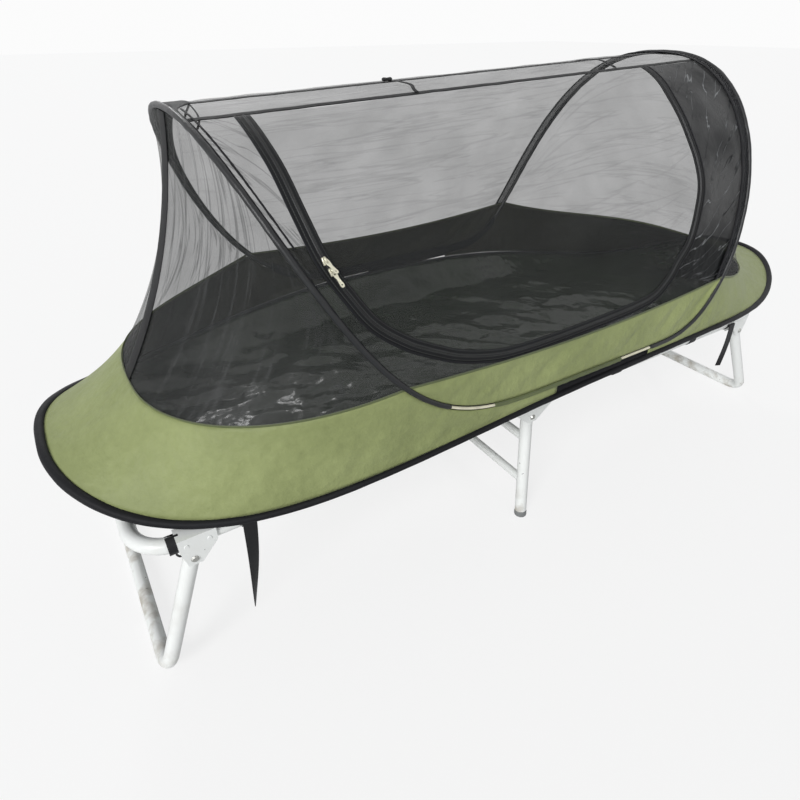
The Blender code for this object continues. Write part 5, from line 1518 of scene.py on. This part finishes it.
    def ends(self) -> None:
        """The net at each end, drawn tight into upright folds between the arch and the seam."""
        start = self.form.seam_angle
        count = 150
        for side in Side:
            left = side is Side.LEFT
            arch = self.form.arch_line(side, start, math.pi - start, count + 1)
            seam = self.form.seam_end(side, count + 1)
            rows = []
            for i in range(37):
                share = i / 36
                row = []
                for k, (a, b) in enumerate(zip(arch, seam)):
                    way = (b - a).normalized() if (b - a).length > 0 else UP
                    size = (b - a).length
                    p = a + way * min(self.near_sleeve, size * 0.45)
                    place = p.lerp(b - way * min(0.0004, size * 0.45), share)
                    across = math.sin(math.pi * k / count)
                    middle = math.exp(-(((k / count - 0.5) / 0.10) ** 2))
                    pull = 4 * share * (1 - share) * across * (1 - self.seam_hold * middle)
                    place.x -= side.value * self.form.end_pull * pull
                    wide = folds(k * 0.13, share * 0.5, 1, side.value)
                    fine = folds(k * 0.33, share * 0.9, 5, side.value)
                    free = math.sin(math.pi * share) * min(size / 0.10, 1.0) * (1 - 0.7 * middle)
                    sizes = self.end_folds
                    depth = (sizes[0] * wide + sizes[1] * fine) * (1.0 if left else self.right_fold_share)
                    place.x += side.value * free * depth
                    row.append(place)
                rows.append(row if left else row[::-1])
            self.sheet(f"{side.word}_end_net", rows, "net_end" if left else "net")
            if left:
                self.end_seam(side, rows)

    def end_seam(self, side: Side, rows: Rows) -> None:
        """The dark tape sewn down the middle of an end net."""
        middle = len(rows[0]) // 2
        line = [row[middle] + ALONG * (side.value * 0.0012) for row in rows[::2]]
        half = [DEPTH * (self.end_seam_half * side.value)] * len(line)
        tape = self.finishes["tape"]
        place_piece(Maker.ribbon(f"{side.word}_end_seam", line, half, tape, self.tape_thickness, 0.0006))

    def build(self) -> None:
        """Make every net and tape."""
        self.near()
        self.door()
        self.zip_tapes()
        self.ridge()
        self.ends()


@dataclass
class ZipSliders:
    """The two sliders of the zip, each with a flat pull."""

    finishes: Finishes
    form: TentForm
    shares: tuple[float, float] = (0.558, 0.581)
    lifts: tuple[float, float] = (0.50, 0.0)
    long: float = 0.012
    wide: float = 0.011
    high: float = 0.0034
    hole: float = 0.0013
    hole_drop: float = 0.0222

    def build(self) -> None:
        """Make both sliders and pulls."""
        for word, share, lift in zip(("upper", "lower"), self.shares, self.lifts):
            base, ahead, across, normal = self.at(share)
            turn = Matrix((across, ahead, normal)).transposed().to_4x4()
            turn.translation = base
            slider = self.slider(f"zip_slider_{word}_body")
            self.put(slider, turn, f"{word}_slider", f"zip_slider_{word}")
            hang = Matrix.Rotation(lift, 4, "X")
            pivot = Matrix.Translation((0, 0, self.high + 0.0013))
            pull = self.pull(f"zip_pull_{word}_tab")
            self.put(pull, turn @ pivot @ hang, f"{word}_pull", f"zip_pull_{word}")

    def at(self, turn: float) -> tuple[Vector, Vector, Vector, Vector]:
        """Place on the tape, direction down the zip, direction into the door and outward normal."""
        line = self.form.smooth(self.form.zip_left_shares, 400)
        k = min(range(1, 400), key=lambda i: abs(line[i][1] - turn))
        here = self.form.panel(*line[k])
        ahead = (self.form.panel(*line[k + 1]) - self.form.panel(*line[k - 1])).normalized()
        normal = self.form.panel_frame(*line[k])[3]
        across = ahead.cross(normal).normalized()
        normal = across.cross(ahead).normalized()
        return here + normal * 0.0012, ahead, across, normal

    def put(self, piece: Piece, turn: Matrix, body: str, node: str) -> None:
        """Move a piece's mesh to its place and let it ride on its body."""
        piece.data.transform(turn)
        piece.data.materials.clear()
        piece.data.materials.append(self.finishes["nickel"])
        Maker.only(piece)
        bpy.ops.object.shade_smooth_by_angle(angle=math.radians(SLIDER_CREASE))
        place_piece(piece, node, body)

    def slider(self, name: str) -> Piece:
        """The slider's shell, with a tapered nose and the bridge that holds the pull."""
        bpy.ops.object.select_all(action="DESELECT")
        bpy.ops.mesh.primitive_cube_add(size=1, location=(0, 0, self.high / 2))
        shell = bpy.context.object
        shell.scale = (self.wide, self.long, self.high)
        bpy.ops.object.transform_apply(location=True, rotation=True, scale=True)
        for vertex in shell.data.vertices:
            if vertex.co.y < 0:
                vertex.co.x *= 0.62
            if vertex.co.z > self.high * 0.6:
                vertex.co.x *= 0.86
                vertex.co.y *= 0.90
        Maker.modify(shell, "BEVEL", width=0.0011, segments=3)
        arc = []
        for k in range(13):
            angle = math.pi * k / 12
            arc.append(Vector((0, -math.cos(angle) * 0.0043, self.high - 0.0006 + math.sin(angle) * 0.0034)))
        bridge = Maker.tube(name + "_bridge", arc, 0.0008, self.finishes["nickel"])
        for vertex in bridge.data.vertices:
            vertex.co.x *= 1.9
        bpy.ops.object.select_all(action="DESELECT")
        bridge.select_set(True)
        shell.select_set(True)
        bpy.context.view_layer.objects.active = shell
        bpy.ops.object.join()
        shell.name = name
        shell.data.name = name
        return shell

    def pull(self, name: str) -> Piece:
        """The flat pull: an eye at its top, a waist and a round hole in its wide end."""
        outline = (
            (-0.0030, -0.0008), (-0.0034, 0.0040), (-0.0030, 0.0078), (-0.0020, 0.0125), (-0.0026, 0.0190),
            (-0.0031, 0.0232), (-0.0018, 0.0262), (0.0018, 0.0262), (0.0031, 0.0232), (0.0026, 0.0190),
            (0.0020, 0.0125), (0.0030, 0.0078), (0.0034, 0.0040), (0.0030, -0.0008),
        )
        slot = ((-0.0018, 0.0006), (-0.0018, 0.0062), (0.0018, 0.0062), (0.0018, 0.0006))
        turns = [k * math.pi / 8 for k in range(16)]
        hole = [(self.hole * math.cos(turn), self.hole_drop + self.hole * math.sin(turn)) for turn in turns]
        shapes = [[(x, y, 0.0) for x, y in shape] for shape in (outline, slot, hole)]
        return Maker.curve(
            name, shapes, True, dimensions="2D", fill_mode="BOTH", extrude=0.0004, bevel_depth=0.0002,
            bevel_resolution=2,
        )


@dataclass
class Webbing:
    """The straps that tie the tent to the rails, and the ties and loops at the ridge."""

    finishes: Finishes
    form: TentForm
    rail_height: float = 0.315
    half_spacing: float = 0.265
    radius: float = 0.0155
    half: float = 0.0122
    thick: float = 0.0014
    tie_share: float = 0.34
    tie_start: float = 0.0086
    bar: float = 0.0026
    steps: int = 18

    def build(self) -> None:
        """Make every strap, tie and loop."""
        table = (
            ("near_left", -1, -0.745, 0.205, -1.25, -0.020),
            ("near_right", -1, 0.655, 0.130, 0.5, 0.0),
            ("far_left", 1, -0.745, 0.120, -0.6, 0.008),
            ("far_right", 1, 0.655, 0.120, 0.7, -0.006),
        )
        for word, side, x, tail, twist, lean in table:
            self.strap(word, side, x, tail, twist, lean)
        self.corner("left_corner_strap", -0.868)
        self.ties()

    def strap(self, word: str, side: int, x: float, tail: float, twist: float, lean: float) -> None:
        """One strap: round the rail, over the buckle's bar, and its loose tail."""
        centre = Vector((x, side * self.half_spacing, self.rail_height))
        out = DEPTH * side
        line = [centre - out * self.radius + UP * 0.016]
        for k in range(17):
            angle = math.pi * k / 16
            line.append(centre - out * self.radius * math.cos(angle) - UP * self.radius * math.sin(angle))
        bar = centre + out * (self.radius + 0.0025) + UP * 0.002
        for k in range(9):
            angle = math.pi * (1 - k / 8)
            line.append(bar + out * self.bar * math.cos(angle) + UP * self.bar * math.sin(angle))
        wrapped = len(line)
        end = line[-1].copy()
        for k in range(1, self.steps + 1):
            s = k / self.steps
            sway = ALONG * (lean * s + 0.0015 * math.sin(math.pi * s * 1.3)) + out * (0.0020 * math.sin(math.pi * s))
            line.append(end - UP * tail * s + sway)
        wide = []
        for k in range(len(line)):
            s = max(k - wrapped, 0) / self.steps
            spin = twist * s**1.6
            narrow = self.half * (1 - 0.42 * s)
            way = ALONG * math.cos(spin) + out * math.sin(spin)
            wide.append(way * narrow * (-side))
        piece = Maker.ribbon(f"{word}_strap_webbing", line, wide, self.finishes["webbing"], self.thick)
        place_piece(piece, f"{word}_strap")

    def corner(self, name: str, x: float) -> None:
        """A short strap round the end tube's bend, with a small hook below it."""
        centre = Vector((x, -self.half_spacing + 0.0012, self.rail_height))
        line = []
        for k in range(25):
            angle = math.radians(100) - math.radians(330) * k / 24
            line.append(centre + (DEPTH * -math.cos(angle) + UP * math.sin(angle)) * (self.radius + 0.0004))
        half = [ALONG * 0.0105] * len(line)
        place_piece(Maker.ribbon(name, line, half, self.finishes["webbing"], self.thick))
        low = centre - UP * (self.radius + 0.001) - DEPTH * 0.004
        hook = [
            low, low - UP * 0.006, low - UP * 0.011 + ALONG * 0.003, low - UP * 0.013 + ALONG * 0.008,
            low - UP * 0.010 + ALONG * 0.012, low - UP * 0.006 + ALONG * 0.012,
        ]
        place_piece(Maker.tube(name + "_hook", lerp_along(hook, 16), 0.0019, self.finishes["moulded"]))

    def ties(self) -> None:
        """The ridge's ties and the lantern loop."""
        start, end = self.form.down_share(self.tie_start, 0.01), self.form.door_top * 0.95
        line = []
        for k in range(25):
            here, _, _, out = self.form.panel_frame(self.tie_share, start + (end - start) * k / 24)
            line.append(here + out * (0.0022 + 0.004 * math.sin(math.pi * k / 24)) + ALONG * 0.003 * math.sin(k * 0.5))
        self.tie("door_tie_strap", line, ALONG * 0.0034, "door_tie_loop")
        line = []
        for k in range(17):
            share = k / 16
            here, _, _, out = self.form.panel_frame(0.742 + 0.020 * share, 0.006 + 0.118 * share)
            line.append(here + out * (0.0022 + 0.006 * math.sin(math.pi * share)))
        self.tie("ridge_tie_right", line, ALONG * 0.0042)
        hang = self.form.panel(0.035, 0.0)
        line = []
        for k in range(33):
            angle = 2 * math.pi * (k + 0.4) / 32.8
            x = hang.x + 0.0085 * math.sin(angle) ** 3 + 0.002 * math.sin(angle)
            line.append(Vector((x, 0, hang.z - 0.0014 - 0.021 * (1 - math.cos(angle)))))
        self.tie("lantern_loop_webbing", line, DEPTH * 0.0048, "lantern_loop")

    def tie(self, name: str, line: list[Vector], half: Vector, node: str = "") -> None:
        """Make one narrow tape along a line."""
        place_piece(Maker.ribbon(name, line, [half] * len(line), self.finishes["tape"], 0.0010), node)


@dataclass
class Studio:
    """The pale floor, the soft light and the camera."""

    place: tuple[float, float, float] = (-0.8857, -0.9980, 1.0238)
    heading: float = 0.5568
    pitch: float = 0.5923
    roll: float = -0.0045
    focal_pixels: float = 561.09
    frame_pixels: float = 800.0
    sensor: float = 36.0
    world_strength: float = 0.34
    floor_shown: float = 0.78

    def build(self) -> None:
        """Set the whole stage."""
        self.camera()
        self.lights()
        self.floor()

    def camera(self) -> None:
        """Stand the camera where the photograph was taken from."""
        cp, sp = math.cos(self.pitch), math.sin(self.pitch)
        forward = Vector((cp * math.sin(self.heading), cp * math.cos(self.heading), -sp))
        right = Vector((math.cos(self.heading), -math.sin(self.heading), 0))
        top = right.cross(forward)
        turned_right = right * math.cos(self.roll) + top * math.sin(self.roll)
        turned_top = top * math.cos(self.roll) - right * math.sin(self.roll)
        data = bpy.data.cameras.new("photograph_view")
        data.sensor_width = self.sensor
        data.sensor_fit = "HORIZONTAL"
        data.lens = self.focal_pixels / self.frame_pixels * self.sensor
        data.clip_start = 0.01
        obj = bpy.data.objects.new("photograph_view", data)
        turn = Matrix((turned_right, turned_top, -forward)).transposed().to_4x4()
        turn.translation = Vector(self.place)
        obj.matrix_world = turn
        bpy.context.scene.collection.objects.link(obj)
        bpy.context.scene.camera = obj

    def lights(self) -> None:
        """Soft light from above and from the left front."""
        scene = bpy.context.scene
        scene.view_settings.view_transform = "Standard"
        g = Graph("studio", world=True)
        scene.world = g.owner
        shown = g.add("Background", Color=(0.97, 0.97, 0.97, 1), Strength=1.0)
        lit = g.add("Background", Color=(0.95, 0.97, 1.0, 1), Strength=self.world_strength)
        rays = g.add("LightPath").outputs
        seen = rays["Is Camera Ray"]
        for ray in ("Is Glossy Ray", "Is Transmission Ray"):
            seen = g.maths("MAXIMUM", seen, rays[ray])
        g.finish(g.add("MixShader", i0=seen, i1=lit.outputs[0], i2=shown.outputs[0]).outputs[0])
        self.lamp("window_light", 2.18, 24, (-0.94, -0.60, 0.62))
        self.lamp("rear_light", 0.42, 8, (0.10, 0.86, 0.54))

    def lamp(self, name: str, strength: float, spread: float, place: tuple[float, float, float]) -> None:
        """A far light of a strength that shines from a direction, softened by its spread in degrees."""
        lamp = bpy.data.lights.new(name, "SUN")
        lamp.energy = strength
        lamp.angle = math.radians(spread)
        obj = bpy.data.objects.new(name, lamp)
        obj.rotation_euler = Vector(place).to_track_quat("Z", "Y").to_euler()
        bpy.context.scene.collection.objects.link(obj)

    def floor(self) -> None:
        """A wide pale floor."""
        bpy.ops.object.select_all(action="DESELECT")
        bpy.ops.mesh.primitive_plane_add(size=60, location=(0, 0, 0))
        obj = bpy.context.object
        obj.name = "studio_floor"
        g = Graph("studio_floor")
        lit = g.add("BsdfPrincipled", Base_Color=(0.90, 0.90, 0.895, 1), Roughness=0.8)
        white = g.add("Emission", Color=(1.0, 1.0, 1.0, 1), Strength=1.0)
        seen = g.times(g.add("LightPath").outputs["Is Camera Ray"], self.floor_shown)
        shown = g.add("MixShader", i0=seen, i1=lit.outputs[0], i2=white.outputs[0])
        obj.data.materials.append(g.finish(shown.outputs[0]))


def main() -> None:
    """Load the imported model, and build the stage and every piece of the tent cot."""
    logging.basicConfig(level=logging.INFO, format="%(message)s")
    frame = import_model()
    Studio().build()
    finishes = Finishes().build()
    form = TentForm()
    cot = CotFrame(finishes)
    cot.build()
    cot.dress(frame["nodes"])
    BedSheet(finishes, cot=cot).build()
    TentRods(finishes, form).build()
    TentCloth(finishes, form).build()
    TentNets(finishes, form).build()
    ZipSliders(finishes, form).build()
    Webbing(finishes, form).build()
    LOG.info("sizes written")


if __name__ == "__main__":
    main()
